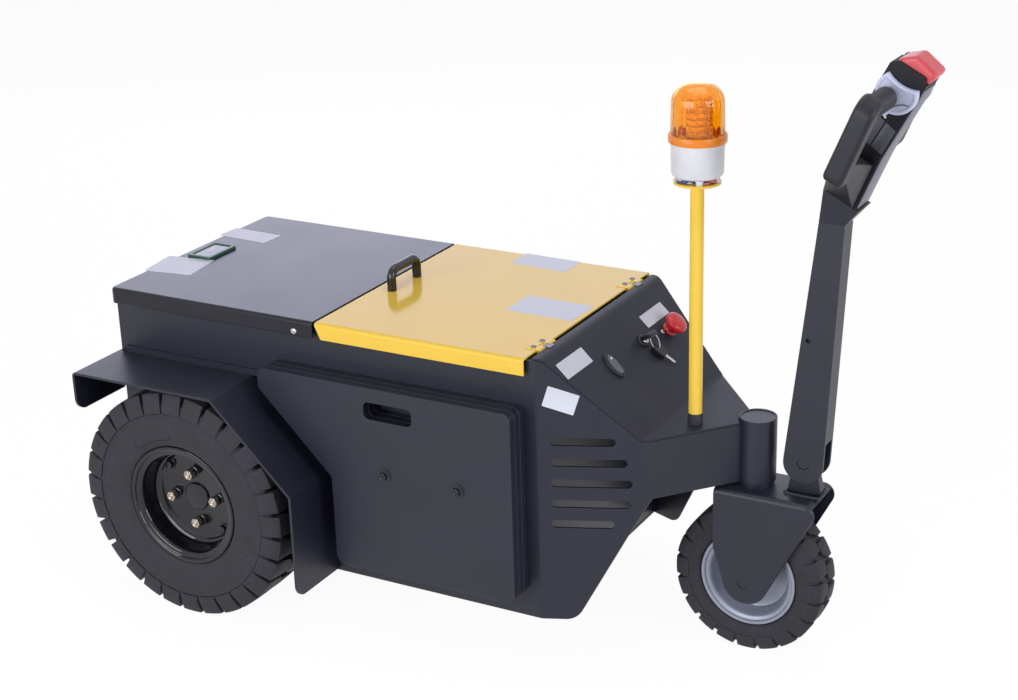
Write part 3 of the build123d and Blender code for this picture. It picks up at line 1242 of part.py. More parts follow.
# Front tyre, made like the rear ones
front_seat_half = FRONT_FLANGE_HALF - RIM_SHEET - SEAT_GAP
with BuildPart() as front_tyre:
    for inner_y, turn in ((0.0, 0.0), (-FRONT_TYRE_HALF, 180.0 / FRONT_LUGS)):
        with BuildSketch(Plane.XZ.offset(inner_y)):
            with Locations((STEER_X, FRONT_TYRE_R)):
                Polygon(
                    *lug_ring(FRONT_TYRE_R, FRONT_LUG_DEPTH, FRONT_LUGS, FRONT_LUG_GAP, turn), align=None
                )
        extrude(amount=FRONT_TYRE_HALF)
    chamfer(lug_ends(front_tyre, FRONT_TYRE_R, FRONT_LUG_DEPTH), length=FRONT_SHOULDER)
    for side in (1, -1):
        with BuildSketch(Plane.XZ.offset(side * FRONT_TYRE_HALF)):
            with Locations((STEER_X, FRONT_TYRE_R)):
                RegularPolygon(FRONT_TYRE_R - FRONT_LUG_DEPTH - SIDEWALL_EDGE, 2 * FRONT_LUGS)
        with BuildSketch(Plane.XZ.offset(side * front_seat_half)):
            with Locations((STEER_X, FRONT_TYRE_R)):
                RegularPolygon(FRONT_FLANGE_R + SIDEWALL_FOOT, 2 * FRONT_LUGS)
        loft(ruled=True, mode=Mode.SUBTRACT)
    with BuildSketch(Plane.XZ):
        with Locations((STEER_X, FRONT_TYRE_R)):
            RegularPolygon(FRONT_BEAD_R + SEAT_GAP, 2 * FRONT_LUGS, major_radius=False)
    extrude(amount=FRONT_TYRE_HALF, both=True, mode=Mode.SUBTRACT)

# Every piece to its own file
for piece, label in (
    (body_side_right, "body_side_right"),
    (body_side_left, "body_side_left"),
    (body_floor, "body_floor"),
    (body_rear_panel, "body_rear_panel"),
    (front_bulkhead, "front_bulkhead"),
    (rear_cover, "rear_cover"),
    (charge_gauge, "charge_gauge"),
    (battery_cover, "battery_cover"),
    (cover_handle, "cover_handle"),
    (cover_hinges, "cover_hinges"),
    (hinge_pins, "hinge_pins"),
    (fender_right, "fender_right"),
    (fender_left, "fender_left"),
    (weight_plates_right, "weight_plates_right"),
    (weight_plates_left, "weight_plates_left"),
    (battery_pack, "battery_pack"),
    (drive_axle, "drive_axle"),
    (drive_motor, "drive_motor"),
    (tow_coupling, "tow_coupling"),
    (nose_side_right, "nose_side_right"),
    (nose_side_left, "nose_side_left"),
    (nose_console, "nose_console"),
    (stop_button, "stop_button"),
    (key_switch, "key_switch"),
    (rocker_switch, "rocker_switch"),
    (beacon_pole, "beacon_pole"),
    (pole_boot, "pole_boot"),
    (beacon_base, "beacon_base"),
    (beacon_dome, "beacon_dome"),
    (beacon_lamp, "beacon_lamp"),
    (head_tube, "head_tube"),
    (fork, "fork"),
    (front_axle, "front_axle"),
    (tiller_bracket, "tiller_bracket"),
    (tiller_arm, "tiller_arm"),
    (head_frame, "head_frame"),
    (head_pod, "head_pod"),
    (throttle_wings, "throttle_wings"),
    (head_grips, "head_grips"),
    (belly_button, "belly_button"),
    (rear_rim_right, "rear_rim_right"),
    (rear_rim_left, "rear_rim_left"),
    (rear_tyre_right, "rear_tyre_right"),
    (rear_tyre_left, "rear_tyre_left"),
    (front_rim, "front_rim"),
    (front_tyre, "front_tyre"),
):
    write(piece, label)
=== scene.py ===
# %% [markdown]
# # Looks for an electric pedestrian tow tractor
# The machine comes in as a frame of exact solids, one per real piece, each already on the body that
# moves it. This lesson dresses that frame: it softens the sheet-metal edges, builds the pieces whose
# form is finer than the solids (tyres, rims, beacon, controls, tiller head), gives every surface a
# finish made from nodes, and sets a plain studio round it. Lengths are metres, X forward, Z up.

# %% Frame and units
import json
from math import acos, cos, degrees, pi, radians, sin, sqrt

import bmesh
import bpy
from mathutils import Matrix, Vector

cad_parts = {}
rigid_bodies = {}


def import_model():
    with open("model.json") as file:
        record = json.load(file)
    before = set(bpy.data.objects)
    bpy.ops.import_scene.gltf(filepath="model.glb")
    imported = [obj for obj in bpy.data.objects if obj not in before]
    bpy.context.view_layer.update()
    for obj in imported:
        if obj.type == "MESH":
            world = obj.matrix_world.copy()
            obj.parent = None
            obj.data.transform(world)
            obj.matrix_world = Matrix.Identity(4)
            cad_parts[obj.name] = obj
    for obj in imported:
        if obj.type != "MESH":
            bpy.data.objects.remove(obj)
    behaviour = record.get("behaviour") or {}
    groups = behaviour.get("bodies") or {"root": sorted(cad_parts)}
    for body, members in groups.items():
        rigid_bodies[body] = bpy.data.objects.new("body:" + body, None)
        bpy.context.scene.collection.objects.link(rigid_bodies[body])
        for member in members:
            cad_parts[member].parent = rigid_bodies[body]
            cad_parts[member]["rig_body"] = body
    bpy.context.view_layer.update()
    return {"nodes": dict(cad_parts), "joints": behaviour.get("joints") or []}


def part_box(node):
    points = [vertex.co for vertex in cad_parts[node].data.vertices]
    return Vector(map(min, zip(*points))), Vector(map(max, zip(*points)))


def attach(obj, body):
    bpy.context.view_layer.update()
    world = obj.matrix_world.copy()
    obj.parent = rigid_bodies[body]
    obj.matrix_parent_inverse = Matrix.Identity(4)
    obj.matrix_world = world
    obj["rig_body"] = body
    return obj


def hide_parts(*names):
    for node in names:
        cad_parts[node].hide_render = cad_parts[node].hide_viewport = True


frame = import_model()
NODES = frame["nodes"]
JOINTS = {joint["name"]: joint for joint in frame["joints"]}
MM = 0.001
RIGHT = -1  # side of the machine that lies towards -Y
LEFT = 1

# %% [markdown]
# ## Small mesh tools
# Most extra pieces are turned, swept or built up from flat outlines, so three short tools make them: a
# lathe, a tube along a path and a stack of outlines, of which a plate is the simplest. Each adds to a
# bmesh, because one piece often joins several such forms. The last tools end a piece: normals, material,
# smooth shading and the body it rides on.

# %% Lathe, tube and stack
def mm(points):
    """Pairs given in millimetres, in metres."""
    return [(first * MM, second * MM) for first, second in points]


def place(origin, z_axis, x_axis):
    """Matrix whose local Z and X point along the given directions."""
    z_dir = Vector(z_axis).normalized()
    y_dir = z_dir.cross(Vector(x_axis)).normalized()
    x_dir = y_dir.cross(z_dir)
    matrix = Matrix((x_dir, y_dir, z_dir)).transposed().to_4x4()
    matrix.translation = Vector(origin)
    return matrix


def moved(matrix, x, y, z):
    """A frame moved along its own axes, in millimetres."""
    return matrix @ Matrix.Translation((x * MM, y * MM, z * MM))


def bridge(bm, rings):
    """Faces between closed rings that follow each other."""
    for low, high in zip(rings, rings[1:]):
        for k in range(len(low)):
            after = (k + 1) % len(low)
            bm.faces.new((low[k], low[after], high[after], high[k]))


def lathe(bm, profile, matrix, segments=64, ripple=None):
    """Turns (radius, height) points about local Z. ripple(index, angle) may change a radius."""
    rings = []
    for index, (radius, height) in enumerate(profile):
        if radius == 0:
            rings.append([bm.verts.new(matrix @ Vector((0, 0, height)))])
            continue
        ring = []
        for step in range(segments):
            angle = 2 * pi * step / segments
            reach = radius + (ripple(index, angle) if ripple else 0)
            ring.append(bm.verts.new(matrix @ Vector((reach * cos(angle), reach * sin(angle), height))))
        rings.append(ring)
    for low, high in zip(rings, rings[1:]):
        for step in range(segments):
            after = step + 1
            spots = ((low, step), (low, after), (high, after), (high, step))
            corners = [ring[at % len(ring)] for ring, at in spots]
            corners = [v for number, v in enumerate(corners) if v not in corners[:number]]
            if len(corners) > 2:
                bm.faces.new(corners)
    return rings


def tube(bm, points, radius, sides=10, closed=False):
    """Round bar along a path, with flat ends unless the path closes."""
    points = [Vector(p) for p in points]
    count = len(points)
    turns = [2 * pi * side / sides for side in range(sides)]
    normal = None
    rings = []
    for index, point in enumerate(points):
        before = points[index - 1] if index or closed else point
        after = points[(index + 1) % count] if index < count - 1 or closed else point
        along = (after - before).normalized()
        if normal is None:
            normal = along.orthogonal().normalized()
        normal = (normal - along * normal.dot(along)).normalized()
        side = along.cross(normal)
        rings.append([bm.verts.new(point + radius * (normal * cos(t) + side * sin(t))) for t in turns])
    if closed:
        rings.append(rings[0])
    bridge(bm, rings)
    if not closed:
        bm.faces.new(rings[0])
        bm.faces.new(rings[-1])


def stacked(bm, matrix, layers):
    """Closed form through flat outlines in local XY, each with its local height."""
    rings = []
    for outline, height in layers:
        rings.append([bm.verts.new(matrix @ Vector((x, y, height))) for x, y in outline])
    bm.faces.new(rings[0])
    bm.faces.new(rings[-1])
    bridge(bm, rings)


def plate(bm, outline, matrix, low, high):
    """Plate with a flat outline in local XY, from one local height to another."""
    stacked(bm, matrix, ((outline, low), (outline, high)))


def rounded_outline(length, width, radius, steps=6):
    """Rectangle about the origin with round corners."""
    points = []
    for cx, cy, start in ((1, 1, 0), (-1, 1, 90), (-1, -1, 180), (1, -1, 270)):
        for step in range(steps + 1):
            angle = radians(start + 90 * step / steps)
            points.append((
                cx * (length / 2 - radius) + radius * cos(angle),
                cy * (width / 2 - radius) + radius * sin(angle),
            ))
    return points


def ellipse_outline(long_half, short_half, steps=48):
    """Oval about the origin, long along local X."""
    turns = [2 * pi * step / steps for step in range(steps)]
    return [(long_half * cos(turn), short_half * sin(turn)) for turn in turns]


# %% Finishing a piece
def bevel_edges(bm, width, segments=2, angle=28.0):
    """Rounds the edges where two faces meet more sharply than the angle."""
    bmesh.ops.recalc_face_normals(bm, faces=bm.faces)
    edges = [e for e in bm.edges if len(e.link_faces) == 2 and e.calc_face_angle(0) > radians(angle)]
    bmesh.ops.bevel(
        bm, geom=edges, offset=width, offset_type="OFFSET", segments=segments, profile=0.5,
        affect="EDGES", clamp_overlap=True,
    )


def stamp(bm, block, matrix):
    """Adds a small finished form to a piece, placed by a matrix, and frees it."""
    bmesh.ops.transform(block, matrix=matrix, verts=block.verts)
    mesh = bpy.data.meshes.new("block")
    block.to_mesh(mesh)
    block.free()
    bm.from_mesh(mesh)
    bpy.data.meshes.remove(mesh)


def finish_piece(name, bm, body, finish, replaced=(), angle=32.0):
    """Turns a bmesh into a shaded piece that rides on a body."""
    bmesh.ops.recalc_face_normals(bm, faces=bm.faces)
    mesh = bpy.data.meshes.new(name)
    bm.to_mesh(mesh)
    bm.free()
    mesh.shade_smooth()
    mesh.set_sharp_from_angle(angle=radians(angle))
    mesh.materials.append(finish)
    piece = bpy.data.objects.new(name, mesh)
    bpy.context.scene.collection.objects.link(piece)
    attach(piece, body)
    if replaced:
        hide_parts(*replaced)
    return piece


def turned(name, profile, matrix, segments, body, finish, replaced=(), angle=32.0):
    """A piece that is one lathe."""
    bm = bmesh.new()
    lathe(bm, profile, matrix, segments)
    return finish_piece(name, bm, body, finish, replaced, angle)


def body_of(node):
    """Name of the body that carries a CAD node."""
    return NODES[node]["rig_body"]


# %% [markdown]
# ## Shared surface effects
# Five small node groups hold what several finishes share: the orange-peel grain of powder coat, a
# painted highlight along rounded edges, settled dust, the fine grain of moulded plastic, and the mottled
# bloom of rubber. A group gives out masks and heights only. Each material keeps its own Principled
# shader and sets constants there.

# %% Node helpers
def feed(tree, value, socket):
    """Links a socket, or sets a plain value."""
    if isinstance(value, bpy.types.NodeSocket):
        tree.links.new(value, socket)
    elif value is not None:
        socket.default_value = value


def calc(tree, operation, first, second=None, clamp=False):
    """Math node."""
    node = tree.nodes.new("ShaderNodeMath")
    node.operation = operation
    node.use_clamp = clamp
    feed(tree, first, node.inputs[0])
    feed(tree, second, node.inputs[1])
    return node.outputs[0]


def spread(tree, value, low, high, to_low=0.0, to_high=1.0):
    """Map Range node."""
    node = tree.nodes.new("ShaderNodeMapRange")
    for socket, item in zip(node.inputs, (value, low, high, to_low, to_high)):
        feed(tree, item, socket)
    return node.outputs[0]


def noise(tree, scale, detail=3.0, roughness=0.5):
    """Noise in the object's own space."""
    node = tree.nodes.new("ShaderNodeTexNoise")
    feed(tree, scale, node.inputs["Scale"])
    node.inputs["Detail"].default_value = detail
    node.inputs["Roughness"].default_value = roughness
    tree.links.new(tree.nodes.new("ShaderNodeTexCoord").outputs["Object"], node.inputs["Vector"])
    return node.outputs["Fac"]


def new_group(name, label, value, outputs):
    """Empty node group with one float input. Returns the tree, its input socket and its output node."""
    tree = bpy.data.node_groups.new(name, "ShaderNodeTree")
    tree.interface.new_socket(label, in_out="INPUT", socket_type="NodeSocketFloat").default_value = value
    for output in outputs:
        tree.interface.new_socket(output, in_out="OUTPUT", socket_type="NodeSocketFloat")
    given = tree.nodes.new("NodeGroupInput").outputs[label]
    return tree, given, tree.nodes.new("NodeGroupOutput")


# %% Powder grain, painted edge highlight and dust
powder_grain, scale, out = new_group("powder_grain", "Scale", 900.0, ("Height", "Tone"))
fine = noise(powder_grain, scale, 2.0, 0.6)
broad = noise(powder_grain, 7.0, 4.0, 0.55)
feed(powder_grain, fine, out.inputs["Height"])
feed(powder_grain, spread(powder_grain, broad, 0.3, 0.7), out.inputs["Tone"])

# Painted highlight: a patchy mask along rounded edges, where the finishes lighten their colour as if the edge
# caught light.
painted_edge_highlight, width, out = new_group("painted_edge_highlight", "Width", 0.002, ("Mask",))
rounder = painted_edge_highlight.nodes.new("ShaderNodeBevel")
rounder.samples = 4
feed(painted_edge_highlight, width, rounder.inputs["Radius"])
facing = painted_edge_highlight.nodes.new("ShaderNodeNewGeometry")
agree = painted_edge_highlight.nodes.new("ShaderNodeVectorMath")
agree.operation = "DOT_PRODUCT"
painted_edge_highlight.links.new(rounder.outputs[0], agree.inputs[0])
painted_edge_highlight.links.new(facing.outputs["Normal"], agree.inputs[1])
edge_light = spread(painted_edge_highlight, agree.outputs["Value"], 0.97, 0.80)
patchy = spread(painted_edge_highlight, noise(painted_edge_highlight, 60.0, 4.0, 0.6), 0.35, 0.65)
feed(painted_edge_highlight, calc(painted_edge_highlight, "MULTIPLY", edge_light, patchy), out.inputs["Mask"])

settled_dust, amount, out = new_group("settled_dust", "Amount", 0.2, ("Mask",))
facing = settled_dust.nodes.new("ShaderNodeNewGeometry")
split = settled_dust.nodes.new("ShaderNodeSeparateXYZ")
settled_dust.links.new(facing.outputs["Normal"], split.inputs[0])
upward = spread(settled_dust, split.outputs["Z"], 0.2, 1.0, 0.25, 1.0)
cloud = spread(settled_dust, noise(settled_dust, 22.0, 6.0, 0.65), 0.35, 0.75)
speck = spread(settled_dust, noise(settled_dust, 420.0, 2.0, 0.5), 0.62, 0.78)
cloud = calc(settled_dust, "MULTIPLY", cloud, 0.6)
speck = calc(settled_dust, "MULTIPLY", speck, 0.4)
layer = calc(settled_dust, "MULTIPLY", calc(settled_dust, "ADD", cloud, speck), upward)
feed(settled_dust, calc(settled_dust, "MULTIPLY", layer, amount, True), out.inputs["Mask"])

# %% Moulded grain and rubber bloom
moulded_grain, scale, out = new_group("moulded_grain", "Scale", 1400.0, ("Height", "Tone"))
cells = moulded_grain.nodes.new("ShaderNodeTexVoronoi")
cells.feature = "SMOOTH_F1"
feed(moulded_grain, scale, cells.inputs["Scale"])
spot = moulded_grain.nodes.new("ShaderNodeTexCoord").outputs["Object"]
moulded_grain.links.new(spot, cells.inputs["Vector"])
feed(moulded_grain, cells.outputs["Distance"], out.inputs["Height"])
feed(moulded_grain, spread(moulded_grain, noise(moulded_grain, 14.0, 3.0), 0.3, 0.7), out.inputs["Tone"])

rubber_bloom, scale, out = new_group("rubber_bloom", "Scale", 30.0, ("Height", "Tone", "Scuff"))
bloom = noise(rubber_bloom, scale, 6.0, 0.6)
pores = noise(rubber_bloom, 1100.0, 2.0, 0.5)
rubs = noise(rubber_bloom, 140.0, 4.0, 0.7)
feed(rubber_bloom, pores, out.inputs["Height"])
feed(rubber_bloom, spread(rubber_bloom, bloom, 0.32, 0.68), out.inputs["Tone"])
feed(rubber_bloom, spread(rubber_bloom, rubs, 0.55, 0.8), out.inputs["Scuff"])
print("groups", [g.name for g in bpy.data.node_groups])

# %% [markdown]
# ## Finishes
# Each finish starts from its colour in daylight and then takes the shared effects with its own values.
# The paint on body, fenders and plates is a charcoal powder coat with a soft sheen and a fine grain. The
# rear cover has the same paint but smoother, so it mirrors the room at a low angle, and the console's coat
# is duller. The yellow is a gloss coat.

# %% Material builder
PAINT_DUST = (0.42, 0.40, 0.38)
PLASTIC_DUST = (0.45, 0.43, 0.41)
RUBBER_DUST = (0.28, 0.25, 0.24)
RUBBER_SCUFF = (0.14, 0.135, 0.145)


def new_finish(name, color, roughness, **constants):
    """Principled material with constants on the shader's own sockets."""
    finish = bpy.data.materials.new(name)
    finish.use_nodes = True
    shader = finish.node_tree.nodes["Principled BSDF"]
    shader.inputs["Base Color"].default_value = (*color, 1)
    shader.inputs["Roughness"].default_value = roughness
    for label, value in constants.items():
        shader.inputs[label.replace("_", " ").title().replace("Ior", "IOR")].default_value = value
    finish.diffuse_color = (*color, 1)
    return finish, finish.node_tree, shader


def effect(tree, group, **values):
    """One shared group placed in a material."""
    node = tree.nodes.new("ShaderNodeGroup")
    node.node_tree = group
    for label, value in values.items():
        node.inputs[label].default_value = value
    return node.outputs


def blend_colors(tree, mask, first, second):
    """Colour mix by a mask."""
    node = tree.nodes.new("ShaderNodeMix")
    node.data_type = "RGBA"
    feed(tree, mask, node.inputs["Factor"])
    for value, socket in ((first, node.inputs[6]), (second, node.inputs[7])):
        feed(tree, (*value, 1) if isinstance(value, tuple) else value, socket)
    return node.outputs[2]


def scaled(color, factor):
    """A colour made darker or lighter."""
    return tuple(channel * factor for channel in color)


def bump(tree, shader, height, depth, strength):
    """Height to normal."""
    node = tree.nodes.new("ShaderNodeBump")
    node.inputs["Strength"].default_value = strength
    node.inputs["Distance"].default_value = depth
    tree.links.new(height, node.inputs["Height"])
    tree.links.new(node.outputs[0], shader.inputs["Normal"])


def dress(tree, shader, tone, sheen, height, depth, strength):
    """Links a finish's colour, roughness and relief to its shader."""
    tree.links.new(tone, shader.inputs["Base Color"])
    tree.links.new(sheen, shader.inputs["Roughness"])
    bump(tree, shader, height, depth, strength)


def painted(
    name, color, roughness, grain, highlight_color, dust, highlight_share=0.5, grain_scale=900.0, deepest=0.88, **constants,
):
    """Coat of paint on sheet steel: grain, a slight change of tone, a painted highlight along edges, and
    dust.
    """
    finish, tree, shader = new_finish(name, color, roughness, **constants)
    coat = effect(tree, powder_grain, Scale=grain_scale)
    edges = effect(tree, painted_edge_highlight, Width=0.0016)
    dirt = effect(tree, settled_dust, Amount=dust)["Mask"]
    tone = blend_colors(tree, coat["Tone"], scaled(color, deepest), color)
    # Painted highlight: the colour turns lighter along rounded edges.
    tone = blend_colors(tree, calc(tree, "MULTIPLY", edges["Mask"], highlight_share), tone, highlight_color)
    tone = blend_colors(tree, dirt, tone, PAINT_DUST)
    sheen = spread(tree, coat["Tone"], 0.0, 1.0, roughness - 0.03, roughness + 0.03)
    sheen = calc(tree, "ADD", sheen, calc(tree, "MULTIPLY", dirt, 0.35), True)
    dress(tree, shader, tone, sheen, coat["Height"], 0.0004, grain)
    return finish


# %% Paints
CHARCOAL = (0.0125, 0.0140, 0.0270)
# Lighter colour along edges, a painted highlight; each paint below gives its own as the fifth value.
CHARCOAL_EDGE_HIGHLIGHT = (0.070, 0.072, 0.092)
charcoal_paint = painted(
    "charcoal_paint", CHARCOAL, 0.42, 0.14, CHARCOAL_EDGE_HIGHLIGHT, 0.03, specular_ior_level=0.42)
console_paint = painted(
    "console_paint", CHARCOAL, 0.55, 0.14, CHARCOAL_EDGE_HIGHLIGHT, 0.03, specular_ior_level=0.30)
cover_black = painted(
    "cover_black", (0.010, 0.011, 0.018), 0.22, 0.04, CHARCOAL_EDGE_HIGHLIGHT, 0.02, specular_ior_level=0.34)
gloss_black = painted(
    "gloss_black", (0.006, 0.006, 0.011), 0.09, 0.015, (0.05, 0.05, 0.060), 0.01, grain_scale=300.0)
yellow_paint = painted(
    "yellow_paint", (1.0, 0.65, 0.085), 0.13, 0.02, (0.92, 0.66, 0.17), 0.0, highlight_share=0.35, grain_scale=350.0,
    deepest=0.97, specular_ior_level=0.18)
silver_paint = painted(
    "silver_paint", (0.32, 0.34, 0.42), 0.38, 0.10, (0.60, 0.60, 0.66), 0.08, metallic=0.35)
casting_paint = painted(
    "casting_paint", (0.045, 0.045, 0.050), 0.55, 0.40, CHARCOAL_EDGE_HIGHLIGHT, 0.3, grain_scale=260.0)
print("paints made")

# %% [markdown]
# ## Metals, plastics, rubber and glass
# Zinc plating is a bright metal with faint cloudy spangle. The moulded plastics share one grain at
# different scales. Tyre rubber is nearly black with a grey bloom, and the beacon's lens is clear amber
# plastic: a plain transmission with the colour in the shader.

# %% Metals and plastics
def plated(name, color, roughness):
    """Plated metal with a cloudy tone."""
    finish, tree, shader = new_finish(name, color, roughness, metallic=0.92)
    cloud = noise(tree, 160.0, 4.0, 0.6)
    tone = blend_colors(tree, spread(tree, cloud, 0.3, 0.7), scaled(color, 0.72), color)
    sheen = spread(tree, cloud, 0.2, 0.8, roughness - 0.06, roughness + 0.08)
    dress(tree, shader, tone, sheen, cloud, 0.0002, 0.08)
    return finish


def moulded(name, color, roughness, grain, grain_scale=1400.0, dust=0.05, **constants):
    """Moulded plastic: a fine grain, slight tone and paler edges, a painted highlight."""
    finish, tree, shader = new_finish(name, color, roughness, **constants)
    skin = effect(tree, moulded_grain, Scale=grain_scale)
    edges = effect(tree, painted_edge_highlight, Width=0.0012)
    dirt = effect(tree, settled_dust, Amount=dust)
    # Painted highlight: a paler copy of the colour along rounded edges.
    highlight_color = tuple(min(1.0, channel * 1.5 + 0.03) for channel in color)
    tone = blend_colors(tree, skin["Tone"], scaled(color, 0.9), color)
    tone = blend_colors(tree, calc(tree, "MULTIPLY", edges["Mask"], 0.25), tone, highlight_color)
    tone = blend_colors(tree, dirt["Mask"], tone, PLASTIC_DUST)
    sheen = spread(tree, skin["Tone"], 0.0, 1.0, roughness - 0.04, roughness + 0.05)
    dress(tree, shader, tone, sheen, skin["Height"], 0.0003, grain)
    return finish


zinc_steel = plated("zinc_steel", (0.62, 0.62, 0.64), 0.34)
dull_zinc = plated("dull_zinc", (0.22, 0.22, 0.25), 0.46)
gold_zinc = plated("gold_zinc", (0.54, 0.46, 0.38), 0.28)
black_plastic = moulded("black_plastic", (0.011, 0.012, 0.019), 0.46, 0.20, specular_ior_level=0.36)
pod_plastic = moulded("pod_plastic", (0.005, 0.005, 0.009), 0.50, 0.20, specular_ior_level=0.24)
gloss_plastic = moulded("gloss_plastic", (0.010, 0.010, 0.011), 0.12, 0.03)
lavender_plastic = moulded("lavender_plastic", (0.70, 0.72, 0.94), 0.40, 0.12)
band_plastic = moulded("band_plastic", (0.17, 0.17, 0.22), 0.45, 0.20)
inlay_plastic = moulded("inlay_plastic", (0.066, 0.068, 0.088), 0.48, 0.25)
red_plastic = moulded("red_plastic", (0.72, 0.018, 0.022), 0.24, 0.05)
cap_red = moulded("cap_red", (0.76, 0.075, 0.095), 0.34, 0.08)
white_plastic = moulded("white_plastic", (0.80, 0.79, 0.83), 0.34, 0.06, dust=0.03)
green_plastic = moulded("green_plastic", (0.008, 0.070, 0.042), 0.24, 0.06)
grey_pad = moulded("grey_pad", (0.10, 0.105, 0.14), 0.45, 0.15)
label_sheet = moulded("label_sheet", (0.74, 0.75, 0.84), 0.42, 0.05, grain_scale=500.0)
battery_plastic = moulded("battery_plastic", (0.05, 0.05, 0.055), 0.5, 0.3, dust=0.4)


# %% Rubber and glass
def rubber(name, color, bloom_color, roughness, bloom_share, dust):
    """Black rubber with a grey bloom, scuffs, dust and a painted highlight along edges."""
    finish, tree, shader = new_finish(name, color, roughness, specular_ior_level=0.4)
    skin = effect(tree, rubber_bloom, Scale=34.0)
    dirt = effect(tree, settled_dust, Amount=dust)
    edges = effect(tree, painted_edge_highlight, Width=0.0022)
    tone = color
    # The edge mask gives a painted highlight: the rubber turns grey along rounded edges.
    for mask, share, over in (
        (skin["Tone"], bloom_share, bloom_color),
        (edges["Mask"], 0.45, bloom_color),
        (skin["Scuff"], 0.18, RUBBER_SCUFF),
    ):
        tone = blend_colors(tree, calc(tree, "MULTIPLY", mask, share), tone, over)
    tone = blend_colors(tree, dirt["Mask"], tone, RUBBER_DUST)
    sheen = spread(tree, skin["Tone"], 0.0, 1.0, roughness - 0.06, roughness + 0.08)
    dress(tree, shader, tone, sheen, skin["Height"], 0.0004, 0.30)
    return finish


tyre_rubber = rubber("tyre_rubber", (0.011, 0.0105, 0.015), (0.030, 0.028, 0.040), 0.68, 0.85, 0.08)
grip_rubber = rubber("grip_rubber", (0.024, 0.024, 0.033), (0.048, 0.048, 0.062), 0.45, 0.6, 0.02)

amber_lens, tree, shader = new_finish(
    "amber_lens", (1.0, 0.55, 0.010), 0.06, transmission_weight=1.0, ior=1.49, specular_ior_level=0.5)
haze = noise(tree, 240.0, 3.0, 0.5)
tree.links.new(spread(tree, haze, 0.3, 0.7, 0.03, 0.10), shader.inputs["Roughness"])
bump(tree, shader, haze, 0.0003, 0.04)
amber_ring = moulded("amber_ring", (0.93, 0.26, 0.012), 0.30, 0.04, dust=0.02)

lamp_glass, tree, shader = new_finish("lamp_glass", (0.55, 0.33, 0.08), 0.25)
tiers = spread(tree, noise(tree, 300.0, 2.0, 0.5), 0.4, 0.6)
tone = blend_colors(tree, tiers, (0.40, 0.22, 0.04), (0.66, 0.42, 0.12))
tree.links.new(tone, shader.inputs["Base Color"])

display_glass, tree, shader = new_finish("display_glass", (0.010, 0.014, 0.014), 0.08, coat_weight=0.4)
film = noise(tree, 90.0, 4.0, 0.6)
tree.links.new(spread(tree, film, 0.3, 0.7, 0.05, 0.14), shader.inputs["Roughness"])
print("materials", len(bpy.data.materials))

# %% [markdown]
# ## Rounded edges
# A folded sheet never ends in a razor edge: cutting, folding and powder coat leave a small round that
# catches the light, and it is what makes such a box look like steel. The solids have sharp edges where
# the real radius is under a few millimetres, so each sheet piece is copied from its node, its triangles
# are joined back into flats, and the edges get a narrow bevel. The head's frame and safety button are
# mouldings with wider rounds, so their copies are smoothed on a fine grid. A copy stands in for its node.

# %% Softened copies
def copy_of(node):
    """Bmesh of a CAD node with its split corners joined."""
    bm = bmesh.new()
    bm.from_mesh(NODES[node].data)
    bmesh.ops.remove_doubles(bm, verts=bm.verts, dist=0.00002)
    return bm


def baked(piece):
    """Puts the result of a piece's modifiers in its mesh."""
    mesh = bpy.data.meshes.new_from_object(piece.evaluated_get(bpy.context.evaluated_depsgraph_get()))
    piece.modifiers.clear()
    piece.data = mesh
    mesh.name = piece.name
    print(piece.name, "faces", len(mesh.polygons))


def soften_sheet(node, finish, width):
    """Copy of a sheet-metal node with its sharp edges rounded."""
    bm = copy_of(node)
    bmesh.ops.dissolve_limit(bm, angle_limit=radians(0.6), verts=bm.verts, edges=bm.edges, delimit=set())
    piece = finish_piece("soft_" + node, bm, body_of(node), finish, (node,), angle=60.0)
    rounding = piece.modifiers.new("edges", "BEVEL")
    rounding.width = width
    rounding.segments = 2
    rounding.limit_method = "ANGLE"
    rounding.angle_limit = radians(26.0)
    rounding.use_clamp_overlap = True
    rounding.miter_outer = "MITER_ARC"
    evening = piece.modifiers.new("flats", "WEIGHTED_NORMAL")
    evening.keep_sharp = True
    baked(piece)


def soften_moulding(node, finish, grid, passes):
    """Copy of a moulded node whose edges are smoothed over on a fine grid."""
    piece = finish_piece("soft_" + node, copy_of(node), body_of(node), finish, (node,), angle=180.0)
    regrid = piece.modifiers.new("grid", "REMESH")
    regrid.mode = "VOXEL"
    regrid.voxel_size = grid
    regrid.use_smooth_shade = True
    smoothing = piece.modifiers.new("soft", "SMOOTH")
    smoothing.factor = 0.5
    smoothing.iterations = passes
    baked(piece)


SHEETS = (
    ("body_side_right body_side_left body_rear_panel front_bulkhead body_floor", charcoal_paint,
     "charcoal_paint", 1.2),
    ("fender_right fender_left", charcoal_paint, "charcoal_paint", 1.4),
    ("weight_plates_right weight_plates_left", charcoal_paint, "charcoal_paint", 2.0),
    ("nose_side_right nose_side_left", charcoal_paint, "charcoal_paint", 1.3),
    ("nose_console", console_paint, "charcoal_paint", 1.8),
    ("head_tube fork tiller_bracket tiller_arm", charcoal_paint, "charcoal_paint", 1.5),
    ("rear_cover tow_coupling", cover_black, "black_paint", 1.2),
    ("battery_cover cover_hinges", yellow_paint, "yellow_paint", 1.2),
    ("head_pod", pod_plastic, "black_plastic", 1.6),
)
for names, finish, slot, width in SHEETS:
    for node in names.split():
        soften_sheet(node, finish, width * MM)
soften_moulding("head_frame", black_plastic, 2.0 * MM, 5)
soften_moulding("belly_button", cap_red, 0.9 * MM, 130)

# %% [markdown]
# ## Solids that keep their own mesh
# Pieces whose solids already have the right rounds only need a finish: the inner drive and battery, the
# handle, the pole with its boot, the front axle and the hinge pins.

